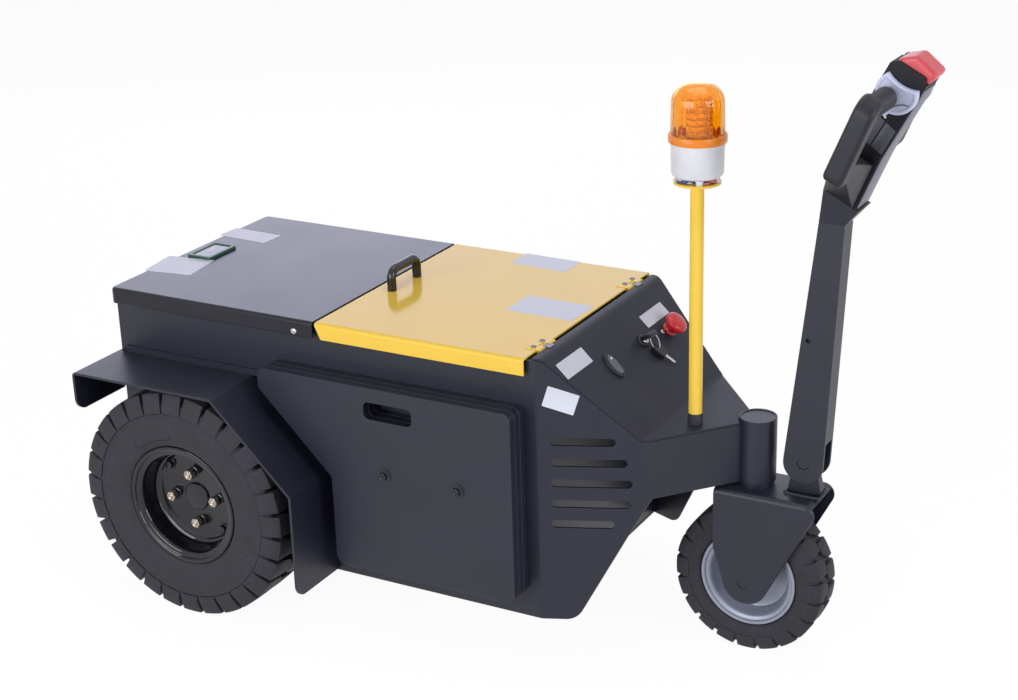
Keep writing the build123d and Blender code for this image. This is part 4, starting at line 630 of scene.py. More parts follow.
# %% Finishes on CAD nodes
KEPT = {
    "cover_handle": gloss_plastic, "hinge_pins": dull_zinc,
    "drive_axle": casting_paint, "drive_motor": casting_paint, "battery_pack": battery_plastic,
    "beacon_pole": yellow_paint, "pole_boot": grip_rubber, "front_axle": charcoal_paint,
}
for node, finish in KEPT.items():
    mesh = NODES[node].data
    mesh.materials.clear()
    mesh.materials.append(finish)
print("kept", len(KEPT))

# %% [markdown]
# ## Tyres
# The rear tyres are solid industrial ones: a plain bulged sidewall with a few turned rings, and 28 chunky
# lugs a side that slope at the shoulder and stagger across the tread. The sidewall is a lathe. One lug is
# drawn as a small block that follows the tyre's curve, bevelled, and then repeated round the wheel.

# %% Tyre builder
def wheel_matrix(centre, side):
    """Local Z points out of the wheel, local X forward."""
    return place(centre, (0, side, 0), (1, 0, 0))


def lug_block(stations, floor_r, tread_r, bevel):
    """Mesh of one lug. A station is (height across, tread inset, offset along, half length)."""
    bm = bmesh.new()
    rows = []
    for across, inset, offset, half in stations:
        row = []
        foot_r = min(floor_r, tread_r - inset - 1.5 * MM)
        for reach, widening in ((foot_r, 1.06), (tread_r - inset, 1.0)):
            for share in (-1, -0.5, 0, 0.5, 1):
                angle = (offset + share * half * widening) / tread_r
                row.append(bm.verts.new((reach * sin(angle), reach * cos(angle), across)))
        rows.append(row)
    for first, second in zip(rows, rows[1:]):
        for k in range(4):
            bm.faces.new((first[5 + k], first[6 + k], second[6 + k], second[5 + k]))
            bm.faces.new((first[k], first[k + 1], second[k + 1], second[k]))
        bm.faces.new((first[0], first[5], second[5], second[0]))
        bm.faces.new((first[4], first[9], second[9], second[4]))
    for row in (rows[0], rows[-1]):
        bm.faces.new(row[:5] + row[9:4:-1])
    bevel_edges(bm, bevel, 2, 30.0)
    mesh = bpy.data.meshes.new("lug")
    bm.to_mesh(mesh)
    bm.free()
    return mesh


def curved_slot(low_r, high_r, start, end):
    """Outline of a round-ended slot bent about the wheel's axis, as (radius, degrees)."""
    middle = (low_r + high_r) / 2
    half = (high_r - low_r) / 2
    reach = degrees(half / middle)
    sweep = [pi / 2 - pi * step / 12 for step in range(1, 12)]
    points = [(high_r, start + (end - start) * step / 24) for step in range(25)]
    points += [(middle + half * sin(swing), end + reach * cos(swing)) for swing in sweep]
    points += [(low_r, end + (start - end) * step / 24) for step in range(25)]
    points += [(middle - half * sin(swing), start - reach * cos(swing)) for swing in sweep]
    return points


def lugged_tyre(name, node, centre, sidewall, stations, floor_r, lugs, bevel, slot, slot_height):
    """Lathe for the carcass, two staggered rows of lugs, and on each sidewall a raised ridge round a blank
    panel.
    """
    bm = bmesh.new()
    wheel = wheel_matrix(centre, RIGHT)
    profile = [(r, t) for t, r in mm(sidewall)]
    profile += [(r, -t) for r, t in reversed(profile)]
    lathe(bm, profile + profile[:1], wheel, lugs * 4)
    lug = lug_block([[v * MM for v in s] for s in stations], floor_r * MM, centre.z, bevel * MM)
    for side in (1, -1):
        mirror = Matrix.Diagonal((side, 1, side, 1))
        for number in range(lugs):
            turn = 2 * pi * (number + (0.5 if side < 0 else 0)) / lugs
            start = len(bm.verts)
            bm.from_mesh(lug)
            bm.verts.ensure_lookup_table()
            matrix = wheel @ Matrix.Rotation(turn, 4, "Z") @ mirror
            bmesh.ops.transform(bm, matrix=matrix, verts=bm.verts[start:])
        path = []
        for r, angle in curved_slot(*slot):
            turn = radians(angle)
            path.append(wheel @ Vector((r * MM * cos(turn), r * MM * sin(turn), side * slot_height * MM)))
        tube(bm, path, 0.9 * MM, 6, True)
    bpy.data.meshes.remove(lug)
    tyre = finish_piece(name, bm, body_of(node), tyre_rubber, (node,), angle=38.0)
    print(tyre.name, "faces", len(tyre.data.polygons))


# %% Rear and front tyres
REAR_SIDEWALL = (
    (20.0, 214.0), (52.0, 213.8), (56.6, 211.0), (59.6, 204.0), (61.0, 196.0), (61.2, 191.6),
    (62.3, 190.4), (62.4, 188.2), (61.5, 186.8), (62.1, 180.0), (62.2, 170.0), (61.8, 158.0), (61.0, 146.0),
    (59.9, 136.0), (58.4, 128.6), (56.6, 125.2), (53.6, 123.6), (51.0, 121.4), (50.8, 104.6), (20.0, 104.6),
)
REAR_LUG = (
    (1.0, 0.0, 9.0, 15.0), (14.0, 0.0, 4.5, 19.0), (32.0, 0.0, 0.0, 21.3), (55.5, 1.0, 0.0, 21.3),
    (59.4, 12.0, 0.0, 21.7), (62.6, 27.0, 0.0, 22.1), (63.2, 39.0, 0.0, 22.4),
)
FRONT_SIDEWALL = (
    (12.0, 139.0), (32.0, 138.8), (36.6, 136.6), (39.4, 131.0), (40.8, 125.0), (41.3, 122.0), (40.8, 120.8),
    (41.3, 116.0), (41.0, 110.0), (40.0, 103.0), (38.6, 98.4), (36.4, 96.2), (32.6, 95.0), (31.9, 80.6),
    (12.0, 80.6),
)
FRONT_LUG = (
    (1.0, 0.0, 7.0, 11.5), (9.0, 0.0, 3.6, 14.0), (20.0, 0.0, 0.0, 18.2), (37.0, 0.8, 0.0, 18.2),
    (40.2, 7.0, 0.0, 18.6), (42.4, 17.5, 0.0, 19.0), (42.0, 26.0, 0.0, 19.2),
)
front_centre = Vector(JOINTS["front_wheel_roll"]["pos_m"])
rear_centres = {
    side: Vector(JOINTS[f"rear_wheel_{side}_roll"]["pos_m"]) for side in ("right", "left")
}
for side_name, centre in rear_centres.items():
    lugged_tyre(
        f"lugged_rear_tyre_{side_name}", f"rear_tyre_{side_name}", centre, REAR_SIDEWALL, REAR_LUG, 210.0, 28,
        1.3, (137.0, 156.0, 98.0, 128.0), 61.2)
lugged_tyre(
    "lugged_front_tyre", "front_tyre", front_centre, FRONT_SIDEWALL, FRONT_LUG, 136.0, 20, 1.1,
    (103.0, 113.0, 60.0, 96.0), 40.6)

# %% [markdown]
# ## Rims
# The rear rims are deep pressed dishes in gloss black: a rolled flange, two steps, a long barrel and a
# flat disc with a hub cap. Four sleeves stand on the disc and carry zinc-plated nuts, and two plain bolts sit
# near its edge. All of it is turned except the nuts. The front rim is a silver-painted casting.

# %% Rear rims
REAR_RIM = (
    (122.0, 51.2), (122.3, 54.4), (121.4, 56.2), (119.4, 57.0), (116.4, 56.8), (114.4, 55.6), (113.6, 53.8),
    (112.0, 52.9), (108.0, 52.6), (105.6, 51.8), (103.6, 49.6), (102.2, 46.4), (101.0, 42.0), (98.6, 20.0),
    (98.0, 15.4), (96.4, 13.0), (92.8, 11.4), (91.2, 9.6), (89.6, 7.8), (87.0, 7.0), (31.0, 7.0), (29.4, 6.6),
    (28.6, 5.6), (27.8, 5.6), (27.4, 6.6), (27.2, 9.0), (26.2, 10.2), (24.0, 10.6), (0, 10.6),
)
RIM_BACK = (
    (0, 6.4), (20.1, 6.4), (20.1, -57.0), (44.0, -57.0), (44.0, -1.0), (98.0, -1.0), (98.0, -55.0),
    (113.0, -57.0), (121.0, -57.0), (122.0, -55.0), (122.0, -51.2), (104.0, -51.0), (104.0, 51.0),
    (122.0, 51.2),
)
SLEEVE = (
    (11.5, 0), (11.0, 1.4), (9.4, 2.2), (9.2, 7.4), (10.2, 8.0), (10.4, 10.2), (9.6, 11.2), (0, 11.4),
)
EDGE_BOLT = ((11.0, 0), (10.6, 1.6), (8.6, 2.0), (8.4, 7.6), (7.4, 9.2), (4.4, 9.8), (0, 9.9))
DISC_FACE = 7.0
STUD_CIRCLE = 51.0
STUD_TURN = 4.0
SLEEVE_TOP = 11.0
BOLT_CIRCLE = 82.0
BOLT_TURNS = (135.0, -45.0)


def hex_nut(bm, matrix, corner_r, height, bore):
    """Chamfered hexagon with a round washer face and the stud's end in the middle."""
    nut = bmesh.new()
    turns = [radians(60 * k) for k in range(6)]
    plate(nut, [(corner_r * cos(t), corner_r * sin(t)) for t in turns], Matrix.Identity(4), 0, height)
    bevel_edges(nut, 0.9 * MM, 2, 20.0)
    stamp(bm, nut, matrix)
    lathe(bm, [(r, height + rise * MM) for r, rise in (
        (corner_r * 0.80, 0), (corner_r * 0.78, 0.4), (bore * 1.2, 0.5), (bore * 1.05, -0.4), (bore, 1.6),
        (bore * 0.8, 2.2), (bore * 0.5, 1.4), (0, 1.2),
    )], matrix, 24)


def on_disc(wheel, circle, angle):
    """Frame on the rim's disc, at an angle in degrees."""
    turn = radians(angle)
    return moved(wheel, circle * cos(turn), circle * sin(turn), DISC_FACE)


for side_name, side in (("right", RIGHT), ("left", LEFT)):
    node = f"rear_rim_{side_name}"
    wheel = wheel_matrix(rear_centres[side_name], side)
    bm = bmesh.new()
    lathe(bm, mm(REAR_RIM), wheel, 96)
    lathe(bm, mm(RIM_BACK), wheel, 96)
    nuts = bmesh.new()
    for number in range(4):
        foot = on_disc(wheel, STUD_CIRCLE, STUD_TURN + 90 * number)
        lathe(bm, mm(SLEEVE), foot, 32)
        hex_nut(nuts, moved(foot, 0, 0, SLEEVE_TOP), 10.4 * MM, 9.0 * MM, 5.0 * MM)
    for angle in BOLT_TURNS:
        lathe(bm, mm(EDGE_BOLT), on_disc(wheel, BOLT_CIRCLE, angle), 32)
    rim = finish_piece(f"dished_{node}", bm, body_of(node), gloss_black, (node,), angle=30.0)
    finish_piece(f"wheel_nuts_{side_name}", nuts, body_of(node), gold_zinc, angle=30.0)
    print(rim.name, "faces", len(rim.data.polygons))

# %% Front rim
FRONT_RIM = (
    (93.6, 32.6), (94.0, 36.0), (93.2, 37.6), (91.4, 38.2), (88.6, 37.8), (86.8, 36.2), (86.0, 34.2),
    (83.4, 33.4), (80.6, 32.4), (78.0, 29.8), (75.4, 24.0), (71.6, 11.0), (69.0, 7.6), (65.0, 6.2),
    (34.0, 6.2), (31.0, 7.4), (29.0, 10.4), (28.2, 16.0), (27.8, 43.4), (26.6, 45.6), (24.4, 46.0),
    (11.6, 46.0),
)
barrel = [(80.0, 0)]
whole = barrel + list(FRONT_RIM) + [(r, -t) for r, t in reversed(FRONT_RIM)] + barrel
rim = turned(
    "cast_front_rim", mm(whole), wheel_matrix(front_centre, RIGHT), 96, body_of("front_rim"), silver_paint,
    ("front_rim",), 30.0)
print(rim.name, "faces", len(rim.data.polygons))

# %% [markdown]
# ## Beacon
# The warning beacon is a white plastic bowl on three feet, an amber lens screwed on it and a stack of lamp
# tiers inside. The lens is smooth outside and ribbed inside, so it is two turned skins, and the inner one
# ripples. A short tangle of leads fills the gap under the bowl.

# %% Beacon lens
low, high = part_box("beacon_dome")
beacon_axis = Vector(((low.x + high.x) / 2, (low.y + high.y) / 2, low.z))
lens_height = high.z - low.z
upright = place(beacon_axis, (0, 0, 1), (1, 0, 0))
RING_R = (high.x - low.x) / 2
WALL_R = RING_R - 4.0 * MM
SHOULDER_R = WALL_R - 1.0 * MM
RING_TOP = 15.0 * MM
CAP_HEIGHT = 36.0 * MM
WALL = 2.4 * MM
RIB = 0.6 * MM
RIBBED = range(1, 10)  # points of the inner profile that ripple


def lens_skin(inset):
    """Profile of the lens from its seat to the top, moved in by the wall."""
    shoulder = lens_height - CAP_HEIGHT
    shoulder_r = SHOULDER_R - inset
    points = [(WALL_R - inset, RING_TOP), (shoulder_r, shoulder)]
    for step in range(1, 15):
        swing = pi / 2 * step / 15
        points.append((shoulder_r * cos(swing) ** 0.80, shoulder + (CAP_HEIGHT - inset) * sin(swing) ** 0.92))
    return points + [(0, lens_height - inset)]


def rib(index, angle):
    """Ripple of the lens's inner skin."""
    return -RIB * cos(18 * angle) if index in RIBBED else 0


bm = bmesh.new()
lathe(bm, [(WALL_R, 0.0)] + lens_skin(0), upright, 144)
lathe(bm, [(WALL_R, 0.0), (WALL_R - WALL, 0.0)] + lens_skin(WALL), upright, 144, rib)
bmesh.ops.remove_doubles(bm, verts=bm.verts, dist=0.00001)
dome_body = body_of("beacon_dome")
lens = finish_piece("ribbed_lens", bm, dome_body, amber_lens, ("beacon_dome",), angle=50.0)
lens.visible_shadow = False
SEAT_R = WALL_R + 0.2 * MM
turned("lens_ring", (
    (SEAT_R, 0.0), (RING_R - 0.8 * MM, 0.0), (RING_R, 1.2 * MM), (RING_R, RING_TOP - 3.0 * MM),
    (RING_R - 1.0 * MM, RING_TOP - 0.8 * MM), (WALL_R + 0.8 * MM, RING_TOP), (SEAT_R, RING_TOP - 0.6 * MM),
    (SEAT_R, 0.0),
), upright, 96, dome_body, amber_ring, angle=40.0)

# %% Lamp tiers
low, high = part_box("beacon_lamp")
lamp_r = (high.x - low.x) / 2
lamp_height = high.z - low.z
TIERS = 7
TIER = lamp_height / TIERS
LAMPS = 16
tower = [(0, 0)]
for tier in range(TIERS):
    for share, rise in ((1, 0.1), (1, 0.6), (0.82, 0.7), (0.82, 1)):
        tower.append((lamp_r * share, (tier + rise) * TIER))
tower += [(lamp_r * 0.5, lamp_height), (0, lamp_height)]
lamp_foot = upright @ Matrix.Translation((0, 0, low.z - beacon_axis.z))
bm = bmesh.new()
lathe(bm, tower, lamp_foot, 48)
for tier in (2, 5):
    for number in range(LAMPS):
        angle = 2 * pi * number / LAMPS
        seat = Matrix.Translation((lamp_r * cos(angle), lamp_r * sin(angle), (tier + 0.35) * TIER))
        lathe(bm, mm(((1.6, -1.6), (1.9, 0), (1.6, 1.6), (0, 1.9))), lamp_foot @ seat, 10)
lamp = finish_piece("lamp_tiers", bm, body_of("beacon_lamp"), lamp_glass, ("beacon_lamp",))
print(lens.name, len(lens.data.polygons), lamp.name, len(lamp.data.polygons))

# %% Beacon bowl and leads
low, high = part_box("beacon_base")
bowl_height = high.z - low.z
bowl = place((beacon_axis.x, beacon_axis.y, low.z), (0, 0, 1), (1, 0, 0))
FOOT_HEIGHT = 9.0 * MM
FOOT_SPREAD = 33.0 * MM
FOOT_TURN = radians(-60)  # one foot looks to the front right
BOWL_TOP_R = (high.x - low.x) / 2
BOWL_LOW_R = BOWL_TOP_R - 2.0 * MM
base_body = body_of("beacon_base")
bm = bmesh.new()
lathe(bm, (
    (0, FOOT_HEIGHT), (BOWL_LOW_R - 8 * MM, FOOT_HEIGHT), (BOWL_LOW_R - 4.4 * MM, FOOT_HEIGHT + 0.8 * MM),
    (BOWL_LOW_R - 1.6 * MM, FOOT_HEIGHT + 3.0 * MM), (BOWL_LOW_R, FOOT_HEIGHT + 7.0 * MM),
    (BOWL_TOP_R - 1.2 * MM, bowl_height - 9.0 * MM), (BOWL_TOP_R - 1.2 * MM, bowl_height - 7.4 * MM),
    (BOWL_TOP_R, bowl_height - 6.6 * MM), (BOWL_TOP_R, bowl_height - 0.4 * MM), (0, bowl_height - 0.4 * MM),
), bowl, 96)
for number in range(3):
    angle = FOOT_TURN + 2 * pi * number / 3
    foot = bowl @ Matrix.Translation((FOOT_SPREAD * cos(angle), FOOT_SPREAD * sin(angle), 0))
    lathe(bm, ((0, 0), (6.4 * MM, 0), (6.6 * MM, 4.0 * MM), (7.6 * MM, FOOT_HEIGHT)), foot, 24)
finish_piece("beacon_bowl", bm, base_body, white_plastic, ("beacon_base",), angle=40.0)

LEADS = (  # colour, then loops: heading in degrees, reach and rise
    ("blue", (0.03, 0.10, 0.42), ((230, 37, 2.6), (252, 36, 4.4), (275, 30, 6.2))),
    ("white", (0.62, 0.66, 0.66), ((205, 36, 3.2), (232, 38, 6.4), (262, 32, 3.0))),
    ("pink", (0.62, 0.16, 0.20), ((322, 37, 3.0), (345, 38, 5.2), (12, 30, 3.4))),
    ("black", (0.015, 0.015, 0.017), ((188, 37, 4.2), (214, 33, 6.2), (300, 31, 3.2), (352, 36, 6.4))),
)
LEAD_R = 2.0
LEAD_START = 17.0
for color_name, color, loops in LEADS:
    lead_finish = moulded(f"lead_{color_name}", color, 0.35, 0.05)
    bm = bmesh.new()
    for heading, reach, rise in loops:
        path = []
        for step in range(17):
            along = step / 8 - 1
            turn = radians(heading) + 0.34 * along
            out_to = LEAD_START + (reach - LEAD_START) * sin(pi * step / 16) ** 0.6
            lift = max(rise - 2.0 * abs(along) + LEAD_R * 0.3, LEAD_R + 0.1)
            path.append(bowl @ (Vector((out_to * cos(turn), out_to * sin(turn), lift)) * MM))
        tube(bm, path, LEAD_R * MM, 8)
    finish_piece(f"beacon_leads_{color_name}", bm, base_body, lead_finish, angle=60.0)
print("beacon bowl and", len(LEADS), "bunches of leads")

# %% [markdown]
# ## Controls on the sloping console
# The console slopes at a fixed angle, so each control is built in a local frame on that slope: X runs down
# it, Y to the left and Z straight out. The solids give the places: their corners are read in the slope's
# own axes, so a control sits exactly on the sheet.

# %% Slope frame
sloping = [face for face in NODES["nose_console"].data.polygons if min(face.normal.x, face.normal.z) > 0.4]
slope_face = max(sloping, key=lambda face: face.area)
OUT = slope_face.normal.copy()
DOWN = Vector((OUT.z, 0, -OUT.x))
ACROSS = Vector((0, 1, 0))
sheet_height = slope_face.center.dot(OUT)


def on_slope(spot, down=0.0, across=0.0):
    """Local frame on the console's face, moved from a spot by millimetres."""
    along = DOWN * (spot[0] + down * MM)
    return place(along + ACROSS * (spot[1] + across * MM) + OUT * sheet_height, OUT, DOWN)


def slope_centre(node):
    """Middle of a CAD control: down the slope, and across it."""
    points = [vertex.co for vertex in NODES[node].data.vertices]
    down = [p.dot(DOWN) for p in points]
    across = [p.y for p in points]
    return (min(down) + max(down)) / 2, (min(across) + max(across)) / 2


stop_spot = slope_centre("stop_button")
key_spot = slope_centre("key_switch")
rocker_spot = slope_centre("rocker_switch")

# %% Stop button and its screw
turned("mushroom_stop", mm((
    (0, 0), (14.6, 0), (14.6, 2.0), (13.4, 3.0), (12.2, 5.0), (11.6, 14.0), (12.8, 15.8), (19.6, 16.6),
    (22.0, 17.8), (23.2, 20.4), (23.4, 23.4), (22.4, 26.8), (19.8, 29.6), (15.2, 31.4), (8.6, 32.4),
    (0, 32.6),
)), on_slope(stop_spot), 64, "chassis", red_plastic, ("stop_button",), 40.0)
turned("console_screw", mm(((0, 0), (4.6, 0), (4.4, 1.8), (3.0, 2.8), (0, 3.1))),
       on_slope(stop_spot, -4, -23), 24, "chassis", zinc_steel)

# %% Key switch with its keys
seat = on_slope(key_spot)
turned("key_bezel", mm((
    (0, 0), (14.0, 0), (14.0, 1.6), (13.0, 4.4), (11.4, 5.8), (9.6, 6.0), (9.2, 4.4), (0, 4.4),
)), seat, 48, "chassis", black_plastic, ("key_switch",), 36.0)
turned("key_barrel", mm((
    (0, 4.0), (8.6, 4.0), (8.4, 7.4), (7.4, 8.4), (3.4, 8.6), (3.0, 7.6), (0, 7.6),
)), seat, 40, "chassis", zinc_steel)
BOW_THICK = 8 * MM
KEY_TILT = radians(-68)  # the key in the switch, about the slope's Y
SPARE_TURN = radians(200)  # the key that lies on the sheet


def key_bow(bm, matrix, length, width, hole):
    """Moulded head of a key: a rounded block with a hole for the ring."""
    turns = [2 * pi * k / 24 for k in range(24)]
    outline = rounded_outline(length * MM, width * MM, 4.0 * MM, 5)
    hole_points = mm([(length * 0.24 + hole * cos(turn), hole * sin(turn)) for turn in turns])
    block = bmesh.new()
    loops = []
    for height in (0, BOW_THICK):
        rings = [[block.verts.new((x, y, height)) for x, y in points] for points in (outline, hole_points)]
        loops.append(rings)
        edges = [block.edges.new((ring[k - 1], ring[k])) for ring in rings for k in range(len(ring))]
        bmesh.ops.triangle_fill(block, edges=edges, use_beauty=True)
    for pair in zip(*loops):
        bridge(block, pair)
    stamp(bm, block, matrix)


bm = bmesh.new()
stand = moved(moved(seat, 0, 0, 19.0) @ Matrix.Rotation(KEY_TILT, 4, "Y"), 0, 0, -3.5)
key_bow(bm, stand, 25, 26, 3.6)
spare = moved(seat, 34.0, 13.0, 2.2) @ Matrix.Rotation(SPARE_TURN, 4, "Z")
key_bow(bm, spare, 27, 25, 3.2)
finish_piece("key_bows", bm, "chassis", black_plastic, angle=40.0)

# %% Key blade and ring
TEETH = (
    (0, 4.2), (-5, 4.2), (-5.6, 3.4), (-9, 3.4), (-11, 1.6), (-13, 3.2), (-15, 1.2), (-17, 2.8), (-19, 1.4),
    (-21, 3.0), (-24.5, 0.6), (-25.0, -1.0), (-24.0, -3.4), (-5.6, -3.4), (-5, -4.2), (0, -4.2),
)
bm = bmesh.new()
plate(bm, mm(TEETH), moved(spare, -13.4, 0, 4.0), -1.0 * MM, 1.0 * MM)
bevel_edges(bm, 0.25 * MM, 1)
RING_WIRE = 0.9 * MM
RING_HALF = 9.5 * MM
ring_start = stand @ Vector((5.0 * MM, 0, 3.5 * MM))
ring_end = spare @ Vector((5.8 * MM, 0, 3.0 * MM))
ring_middle = (ring_start + ring_end) / 2 + OUT * 2.0 * MM
reach = (ring_end - ring_start) / 2
lift = reach.cross(ACROSS).normalized()
lift = lift if lift.dot(OUT) > 0 else -lift
sideways = (lift * 0.35 + ACROSS * 0.94).normalized() * RING_HALF
turns = [2 * pi * k / 36 for k in range(36)]
for shift in (-0.95 * MM, 0.95 * MM):
    start = ring_middle + ACROSS * shift
    tube(bm, [start + reach * 1.12 * cos(t) + sideways * sin(t) for t in turns], RING_WIRE, 8, True)
finish_piece("key_blade_and_ring", bm, "chassis", zinc_steel, angle=50.0)
print("key parts placed at", [round(v, 4) for v in seat.translation])

# %% Rocker switch
seat = on_slope(rocker_spot)
BEZEL = (
    (27.0, 15.5, 0.0), (27.0, 15.5, 3.4), (26.2, 14.7, 4.8), (24.6, 13.1, 5.4), (23.2, 11.7, 5.2),
    (22.6, 11.1, 3.0),
)
bm = bmesh.new()
stacked(bm, seat, [(mm(ellipse_outline(*halves)), height * MM) for *halves, height in BEZEL])
finish_piece("rocker_bezel", bm, "chassis", black_plastic, ("rocker_switch",), angle=40.0)
bm = bmesh.new()
loops = []
for share, height in ((1.0, 3.2), (0.97, 6.6), (0.90, 7.4)):
    ring = []
    for x, y in ellipse_outline(22.2, 10.8):
        rise = height + 1.3 * (x / 22.0) ** 2 - (0.5 if x > 0 else 0)
        ring.append(bm.verts.new(seat @ (Vector((x * share, y * share, rise)) * MM)))
    loops.append(ring)
bridge(bm, loops)
rim_edges = [e for e in bm.edges if all(v in loops[-1] for v in e.verts)]
bmesh.ops.triangle_fill(bm, edges=rim_edges, use_beauty=True)
finish_piece("rocker_pad", bm, "chassis", grey_pad, angle=30.0)
turned("rocker_dot", mm(((0, 7.6), (2.6, 7.6), (2.4, 8.9), (0, 9.0))),
       moved(seat, -13.5, 0, 0.4), 20, "chassis", white_plastic)

# %% [markdown]
# ## Charge gauge, blank plates and fixings
# The gauge is a green moulded frame round a dark window. Beside it and on the yellow cover lie thin white
# sheets, one more sits on the nose and two on the console: all are left blank. The rest are fixings: bolts
# with washers on the weight plates, screws on the hinges and a cross-head screw in the rear cover's lip.

# %% Gauge
low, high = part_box("charge_gauge")
gauge = place(((low.x + high.x) / 2, 0, low.z), (0, 0, 1), (1, 0, 0))
gauge_size = high - low
FRAME = 9.0 * MM
GAUGE_FRAME = (  # share of the frame's width, share of its height, corner radius
    (0, 0, 5), (0, 0.72, 5), (0.09, 0.95, 4.4), (0.2, 1.0, 4.0), (0.8, 0.98, 3.0), (1.0, 0.75, 2.4),
    (1.0, 0.5, 2.4),
)
layers = []
for inset, height, radius in GAUGE_FRAME:
    cut = 2 * inset * FRAME
    outline = rounded_outline(gauge_size.x - cut, gauge_size.y - cut, radius * MM)
    layers.append((outline, height * gauge_size.z))
bm = bmesh.new()
stacked(bm, gauge, layers)
finish_piece("gauge_frame", bm, "chassis", green_plastic, ("charge_gauge",), angle=40.0)


def gauge_plate(name, outline, matrix, low_share, high_share, bevel, finish):
    """Flat piece in the gauge, between two shares of its height."""
    bm = bmesh.new()
    plate(bm, outline, matrix, low_share * gauge_size.z, high_share * gauge_size.z)
    bevel_edges(bm, bevel, 1)
    finish_piece(name, bm, "chassis", finish)


CUT = 2 * FRAME + 0.6 * MM
window = rounded_outline(gauge_size.x - CUT, gauge_size.y - CUT, 2 * MM)
gauge_plate("gauge_window", window, gauge, 0.5, 0.66, 0.3 * MM, display_glass)
readout = rounded_outline(14 * MM, 30 * MM, 1.5 * MM)
gauge_plate("gauge_readout", readout, moved(gauge, -4, 4, 0), 0.6, 0.74, 0.2 * MM, label_sheet)


# %% Blank sheets and plates
def blank_sheet(name, matrix, length, width, body="chassis", thick=0.3 * MM):
    """Thin blank sheet with round corners, its edge slightly eased."""
    bm = bmesh.new()
    plate(bm, rounded_outline(length, width, 1.5 * MM, 4), matrix, 0.02 * MM, thick)
    bevel_edges(bm, thick * 0.4, 1)
    finish_piece(name, bm, body, label_sheet)


cover_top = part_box("rear_cover")[1].z
lid_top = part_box("battery_cover")[1].z
for name, x, y, length, width, turn, top, body in (
    ("cover_sheet_left", -0.682, 0.128, 0.120, 0.058, -3.0, cover_top, "chassis"),
    ("cover_sheet_right", -0.694, -0.097, 0.105, 0.098, 8.0, cover_top, "chassis"),
    ("lid_sheet_left", -0.024, 0.228, 0.126, 0.068, -2.0, lid_top, "battery_lid"),
    ("lid_sheet_right", 0.110, -0.008, 0.142, 0.090, -1.0, lid_top, "battery_lid"),
):
    lying = place((x, y, top), (0, 0, 1), (cos(radians(turn)), sin(radians(turn)), 0))
    blank_sheet(name, lying, length, width, body)
nose_faces = [face for face in NODES["nose_side_right"].data.polygons if face.normal.y < -0.85]
nose_face = max(nose_faces, key=lambda face: face.area)
nose_normal = nose_face.normal.copy()
NOSE_SHEET_DIR = (0.052, 0.022, -0.018)
sheet_spot = Vector((0.2499, 0, 0.5313))
sheet_spot.y = (nose_face.center - sheet_spot).dot(nose_normal) / nose_normal.y
blank_sheet("nose_sheet", place(sheet_spot, nose_normal, NOSE_SHEET_DIR), 0.059, 0.040)
blank_sheet("console_sheet", on_slope(stop_spot, -40, -4), 0.028, 0.094)
blank_sheet("console_plate", on_slope(rocker_spot, -47, -88), 0.034, 0.098, thick=0.8 * MM)


# %% Bolts and screws
def bolt_head(bm, matrix, washer_r, head_r):
    """Washer and hexagon head."""
    lathe(bm, mm((
        (washer_r, 0), (washer_r, 1.6), (washer_r - 0.8, 2.2), (head_r * 0.9, 2.2))), matrix, 40)
    lathe(bm, mm(((head_r * 1.25, 2.2), (head_r * 1.2, 3.4), (head_r, 3.6))), matrix, 40)
    hex_nut(bm, moved(matrix, 0, 0, 2.6), head_r * MM, 6.0 * MM, head_r * 0.45 * MM)


def cross_screw(bm, matrix, radius):
    """Pan head with a cross recess cut as two shallow grooves."""
    sides = 32
    rim = radius * 0.42
    rings = lathe(bm, (
        (radius, 0), (radius, radius * 0.22), (radius * 0.92, radius * 0.42), (radius * 0.7, radius * 0.55),
        (rim, radius * 0.6)), matrix, sides)
    centre = bm.verts.new(matrix @ Vector((0, 0, radius * 0.25)))
    top = rings[-1]
    for k in range(sides):
        if k % 8 in (0, 7):
            turn = 2 * pi * k / sides
            top[k].co = matrix @ Vector((rim * cos(turn), rim * sin(turn), radius * 0.34))
    for k in range(sides):
        bm.faces.new((top[k], top[(k + 1) % sides], centre))


plate_side = -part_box("weight_plates_right")[0].y
cover_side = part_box("rear_cover")[1].y
hinge_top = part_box("cover_hinges")[1].z - 0.4 * MM
BOLTS_X = (-0.0863, 0.0706)
BOLT_Z = 0.3478
COVER_SCREW_X = -0.2976
COVER_SCREW_Z = 0.5867
HINGE_SCREW_X = 0.181
HINGE_SCREWS_Y = (0.171, 0.204)
cover_screws = bmesh.new()
hinge_screws = bmesh.new()
for side_name, side in (("right", RIGHT), ("left", LEFT)):
    bm = bmesh.new()
    for bolt_x in BOLTS_X:
        bolt_head(bm, place((bolt_x, side * plate_side, BOLT_Z), (0, side, 0), (1, 0, 0.2)), 15, 8.6)
    finish_piece(f"plate_bolts_{side_name}", bm, "chassis", charcoal_paint, angle=30.0)
    lip_spot = (COVER_SCREW_X, side * cover_side, COVER_SCREW_Z)
    cross_screw(cover_screws, place(lip_spot, (0, side, 0), (1, 0, 0.4)), 6.5 * MM)
    for offset in HINGE_SCREWS_Y:
        leaf_spot = (HINGE_SCREW_X, side * offset, hinge_top)
        cross_screw(hinge_screws, place(leaf_spot, (0, 0, 1), (1, 0.3 * side, 0)), 5.2 * MM)
finish_piece("cover_screws", cover_screws, "chassis", zinc_steel, angle=40.0)
finish_piece("hinge_screws", hinge_screws, "battery_lid", dull_zinc, angle=40.0)
print("fixings made")

# %% [markdown]
# ## Weld bead
# The ear that carries the tiller is welded to the fork's top plate, and the bead shows as a ridge of small
# overlapping lumps under the paint. A closed tube follows the ear's foot, and its path swells at each lump.

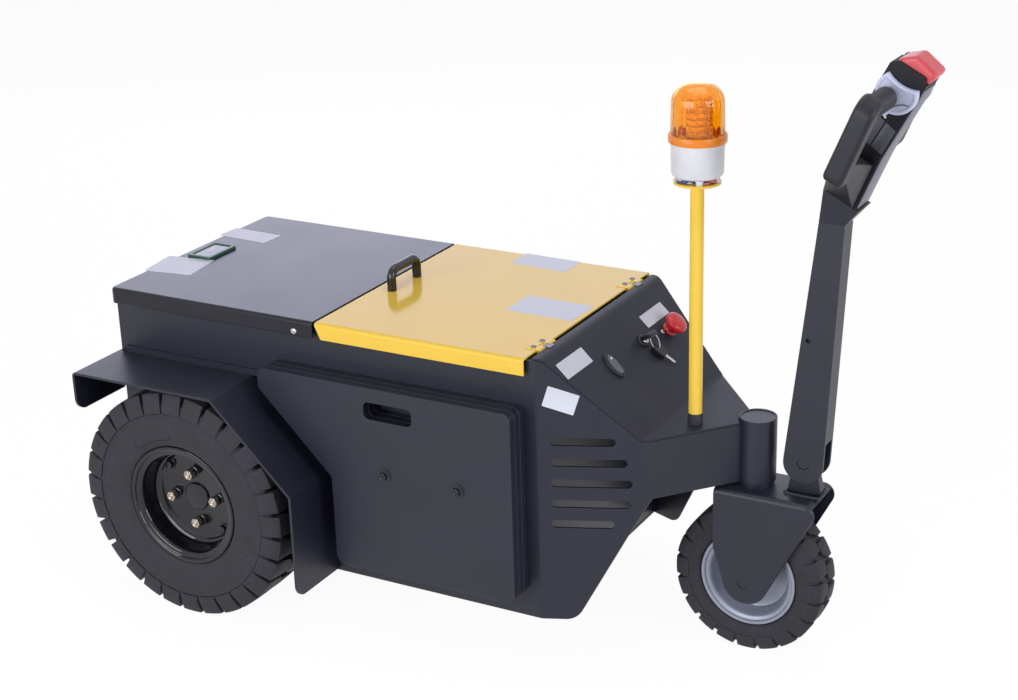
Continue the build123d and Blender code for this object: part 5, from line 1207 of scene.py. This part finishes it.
# %% Bead round the ear
ear_low, ear_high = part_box("tiller_bracket")
ear_size = ear_high - ear_low
ear_foot = Vector(((ear_low.x + ear_high.x) / 2, (ear_low.y + ear_high.y) / 2, ear_low.z))
BEAD_R = 3.4 * MM
BEAD_STEPS = 44 * 4  # four steps to a lump
foot = rounded_outline(ear_size.x + BEAD_R, ear_size.y + BEAD_R, 3 * MM, 5)
corners = [Vector((x, y, 0)) for x, y in foot]
ends = corners[1:] + corners[:1]
lengths = [(end - start).length for start, end in zip(corners, ends)]
bead = []
for k in range(BEAD_STEPS):
    goal = sum(lengths) * k / BEAD_STEPS
    edge = 0
    while goal > lengths[edge]:
        goal -= lengths[edge]
        edge += 1
    spot = corners[edge].lerp(ends[edge], goal / lengths[edge])
    swell = 0.5 * MM * abs(sin(pi * k / 4))
    bead.append(ear_foot + spot * (1 + swell / spot.length) + Vector((0, 0, swell)))
bm = bmesh.new()
tube(bm, bead, BEAD_R, 8, True)
finish_piece("ear_weld", bm, body_of("tiller_bracket"), charcoal_paint, angle=60.0)
print("ear foot", [round(c, 4) for c in ear_foot], "size", [round(c, 4) for c in ear_size])

# %% [markdown]
# ## Tiller head
# The head leans forward on the arm, so its pieces are built in its own axes: N out of the front band, U to
# the left and A up along the lean. The grips are soft bellows turned from a rippled profile. The throttle
# wings are grey mouldings with a raised rim, the front band is a paler strip, and the spine has grey inlays.

# %% Head axes
HEAD_LEAN = radians(28.0)
HEAD_OFFSET = Vector((51.0, 0, 508.0)) * MM  # from the tiller's pivot to the middle of the head's base
HEAD_ORIGIN = Vector(JOINTS["tiller_swing"]["pos_m"]) + HEAD_OFFSET
A_DIR = Vector((sin(HEAD_LEAN), 0, cos(HEAD_LEAN)))
N_DIR = Vector((cos(HEAD_LEAN), 0, -sin(HEAD_LEAN)))
U_DIR = Vector((0, 1, 0))


def head_point(n, u, a):
    """Point of the head in millimetres along its own axes."""
    return HEAD_ORIGIN + (N_DIR * n + U_DIR * u + A_DIR * a) * MM


def head_side(side, u):
    """Frame on a side of the head: X forward (N), Y along the lean, Z outward. Mirrored on the left."""
    matrix = Matrix((N_DIR, A_DIR, U_DIR * side)).transposed().to_4x4()
    matrix.translation = head_point(0, side * u, 0)
    return matrix


# %% Ribbed grips
grip_sides = [abs(vertex.co.y) for vertex in NODES["head_grips"].data.vertices]
inner_end = min(grip_sides)
outer_end = max(grip_sides)
grip_low, grip_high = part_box("head_grips")
grip_axis = Vector(((grip_low.x + grip_high.x) / 2, 0, (grip_low.z + grip_high.z) / 2))
grip_r = (grip_high.z - grip_low.z) / 2
RIBS = 7
RIB_STEPS = RIBS * 8
profile = [(0, inner_end)]
for step in range(RIB_STEPS + 1):
    share = step / RIB_STEPS
    ripple = abs(sin(pi * RIBS * share)) ** 0.45
    profile.append((grip_r * (0.54 + 0.46 * ripple), inner_end + (outer_end - inner_end) * share))
profile.append((0, outer_end))
bm = bmesh.new()
for side in (RIGHT, LEFT):
    lathe(bm, profile, place(grip_axis, (0, side, 0), (1, 0, 0)), 48)
grips = finish_piece("bellows_grips", bm, "tiller", grip_rubber, ("head_grips",), angle=60.0)
print(grips.name, len(grips.data.polygons))

# %% Throttle wings
WING_R = 36.5
WING_N = -4.2
WING_A = 216.0
SCOOP_R = 62.0
SCOOP_DIP = 15.0  # the scoop's lowest point above the wing's middle
POD_SIDE = 35.0
WING_TOP = 45.5
WING_RINGS = (  # inset, height out of the head
    (0, POD_SIDE + 0.2), (0, WING_TOP - 2.4), (0.7, WING_TOP - 0.8), (2.0, WING_TOP), (4.6, WING_TOP),
    (5.8, WING_TOP - 0.6), (7.2, WING_TOP - 2.6), (14.0, WING_TOP - 3.2),
)
CREASE = ((-1, 186), (3, 194), (9, 201), (17, 206.5), (27, 209.5))
WING_TAIL = ((-16, 170), (-2, 170), (4, 184), (-12, 186))


def wing_outline(inset):
    """Disc with its top scooped out, moved in by the inset, in the head's N and A."""
    radius = WING_R - inset
    scoop = SCOOP_R + inset
    scoop_y = SCOOP_DIP + SCOOP_R
    tip_y = (radius ** 2 - scoop ** 2 + scoop_y ** 2) / (2 * scoop_y)
    tip_x = sqrt(radius ** 2 - tip_y ** 2)
    start = acos(tip_x / radius)
    half = acos((scoop_y - tip_y) / scoop)
    points = []
    for step in range(49):
        angle = start - (pi + 2 * start) * step / 48
        points.append((radius * cos(angle), radius * sin(angle)))
    for step in range(1, 24):
        angle = -pi / 2 - half + 2 * half * step / 24
        points.append((scoop * cos(angle), scoop_y + scoop * sin(angle)))
    return [(WING_N + x, WING_A + y) for x, y in points]


bm = bmesh.new()
crease_shade = bmesh.new()
for side in (RIGHT, LEFT):
    seat = head_side(side, 0)
    stacked(bm, seat, [(mm(wing_outline(inset)), u * MM) for inset, u in WING_RINGS])
    plate(bm, mm(WING_TAIL), seat, 35.2 * MM, 40.0 * MM)
    # A thin black tube along each wing's crease: painted shade of the fold.
    tube(crease_shade, [seat @ (Vector((n, a, WING_TOP - 3.0)) * MM) for n, a in CREASE], 0.8 * MM, 8)
wings = finish_piece(
    "scooped_wings", bm, "tiller", lavender_plastic, ("throttle_wings",), angle=36.0)
finish_piece("wing_crease_shade", crease_shade, "tiller", black_plastic, angle=60.0)
print(wings.name, len(wings.data.polygons))

# %% Front band, inlays and dots
BAND = ((37.0, 4.0), (33.2, 50.0), (29.2, 102.0), (29.3, 110.0), (31.0, 240.0))
BAND_HALF = 30.5
BAND_EDGE = 1.4
bm = bmesh.new()
rows = []
for lift, u in (
    (0.0, BAND_HALF), (0.7, BAND_HALF), (1.2, BAND_HALF - BAND_EDGE), (1.2, BAND_EDGE - BAND_HALF),
    (0.7, -BAND_HALF), (0.0, -BAND_HALF),
):
    rows.append([bm.verts.new(head_point(n + lift, u, a)) for n, a in BAND])
bridge(bm, list(zip(*rows)))
for end in (0, -1):
    bm.faces.new([row[end] for row in rows])
finish_piece("head_band", bm, "tiller", band_plastic, angle=24.0)

INLAYS = (
    ((3.0, 113.0), (25.5, 110.0), (26.5, 158.0), (5.0, 162.0)),
    ((-22.0, 117.0), (0.5, 113.5), (2.5, 162.5), (-20.0, 166.0)),
)
DOTS = ((-15.0, 172.0), (-1.0, 168.5))
bm = bmesh.new()
dots = bmesh.new()
for side in (RIGHT, LEFT):
    seat = head_side(side, POD_SIDE)
    for outline in INLAYS:
        plate(bm, mm(outline), seat, 0.02 * MM, 1.4 * MM)
    for n, a in DOTS:
        lathe(dots, mm(((0, 0), (2.0, 0), (2.0, 1.4), (1.4, 2.0), (0, 2.2))), moved(seat, n, a, 0), 16)
bevel_edges(bm, 0.7 * MM, 2)
finish_piece("head_inlays", bm, "tiller", inlay_plastic)
finish_piece("head_dots", dots, "tiller", white_plastic, angle=40.0)

# %% [markdown]
# ## Studio and camera
# The machine stands on a white sweep in broad soft light: a large panel on the near side, one in front, a
# weak one above, and one behind that the glossy tops mirror. The floor and world show white to the camera
# and to reflections, while the floor still takes a soft shadow. The camera repeats the photograph's place,
# lens and framing.

# %% Floor and world
def seen_directly(tree):
    """One for rays that show the studio itself: straight, mirrored or through glass."""
    path = tree.nodes.new("ShaderNodeLightPath")
    seen = calc(tree, "ADD", path.outputs["Is Camera Ray"], path.outputs["Is Glossy Ray"], True)
    return calc(tree, "ADD", seen, path.outputs["Is Transmission Ray"], True)


FLOOR_HALF = 9.0
AMBIENT = 0.20  # share of the white that lights the machine
FLOOR_SEEN = 0.88
FLOOR_GLOW = 1.07
floor_mesh = bpy.data.meshes.new("studio_floor")
floor_corners = [(x * FLOOR_HALF, y * FLOOR_HALF, 0) for x, y in ((-1, -1), (1, -1), (1, 1), (-1, 1))]
floor_mesh.from_pydata(floor_corners, [], [(0, 1, 2, 3)])
floor = bpy.data.objects.new("studio_floor", floor_mesh)
bpy.context.scene.collection.objects.link(floor)
floor_paint, tree, shader = new_finish("floor_paint", (0.86, 0.86, 0.87), 0.9, specular_ior_level=0.1)
glow = tree.nodes.new("ShaderNodeEmission")
glow.inputs["Strength"].default_value = FLOOR_GLOW
joined = tree.nodes.new("ShaderNodeMixShader")
feed(tree, spread(tree, seen_directly(tree), 0.0, 1.0, AMBIENT, FLOOR_SEEN), joined.inputs[0])
tree.links.new(shader.outputs[0], joined.inputs[1])
tree.links.new(glow.outputs[0], joined.inputs[2])
tree.links.new(joined.outputs[0], tree.nodes["Material Output"].inputs["Surface"])
floor_mesh.materials.append(floor_paint)

world = bpy.data.worlds.new("studio")
bpy.context.scene.world = world
world.use_nodes = True
tree = world.node_tree
backdrop = tree.nodes["Background"]
backdrop.inputs["Color"].default_value = (1, 1, 1, 1)
feed(tree, spread(tree, seen_directly(tree), 0.0, 1.0, AMBIENT, 1.0), backdrop.inputs["Strength"])


# %% Lights
def softbox(name, place_at, aim, width, height, power, tint=(0.93, 0.95, 1.0)):
    """Rectangular panel of soft light."""
    lamp = bpy.data.lights.new(name, "AREA")
    lamp.shape = "RECTANGLE"
    lamp.size = width
    lamp.size_y = height
    lamp.energy = power
    lamp.color = tint
    holder = bpy.data.objects.new(name, lamp)
    holder.location = place_at
    holder.rotation_euler = (Vector(aim) - Vector(place_at)).to_track_quat("-Z", "Y").to_euler()
    bpy.context.scene.collection.objects.link(holder)


softbox("panel_above", (0.2, 0.2, 3.6), (0, 0, 0.3), 2.6, 2.2, 26)
softbox("panel_front", (3.9, -0.9, 1.6), (0.3, 0, 0.5), 2.2, 2.0, 58)
softbox("panel_near", (-0.9, -4.1, 1.5), (0, 0, 0.4), 3.2, 2.2, 108)
softbox("panel_behind", (-2.7, 3.5, 2.1), (-0.2, 0, 0.6), 4.4, 2.2, 44, (0.66, 0.68, 1.0))

# %% Camera
PHOTO_WIDTH = 1018
PHOTO_HEIGHT = 700
FOCAL_PX = 1907.0
CENTRE_PX = (559.6, 363.5)
YAW = radians(27.97)
PITCH = radians(21.52)
ROLL = radians(-1.12)
CAMERA_AT = (1.7127, -2.9906, 1.8324)
SENSOR = 36.0
camera_data = bpy.data.cameras.new("photo_camera")
camera_data.sensor_width = SENSOR
camera_data.lens = FOCAL_PX * SENSOR / PHOTO_WIDTH
camera_data.shift_x = (PHOTO_WIDTH / 2 - CENTRE_PX[0]) / PHOTO_WIDTH
camera_data.shift_y = (CENTRE_PX[1] - PHOTO_HEIGHT / 2) / PHOTO_WIDTH
camera_data.clip_end = 60
back = Vector((sin(YAW) * cos(PITCH), -cos(YAW) * cos(PITCH), sin(PITCH)))
level = Vector((cos(YAW), sin(YAW), 0))
upward = back.cross(level)
right_dir = level * cos(ROLL) + upward * sin(ROLL)
up_dir = upward * cos(ROLL) - level * sin(ROLL)
camera = bpy.data.objects.new("photo_camera", camera_data)
pose = Matrix((right_dir, up_dir, back)).transposed().to_4x4()
pose.translation = CAMERA_AT
camera.matrix_world = pose
bpy.context.scene.collection.objects.link(camera)
bpy.context.scene.camera = camera
bpy.context.scene.view_settings.view_transform = "Standard"
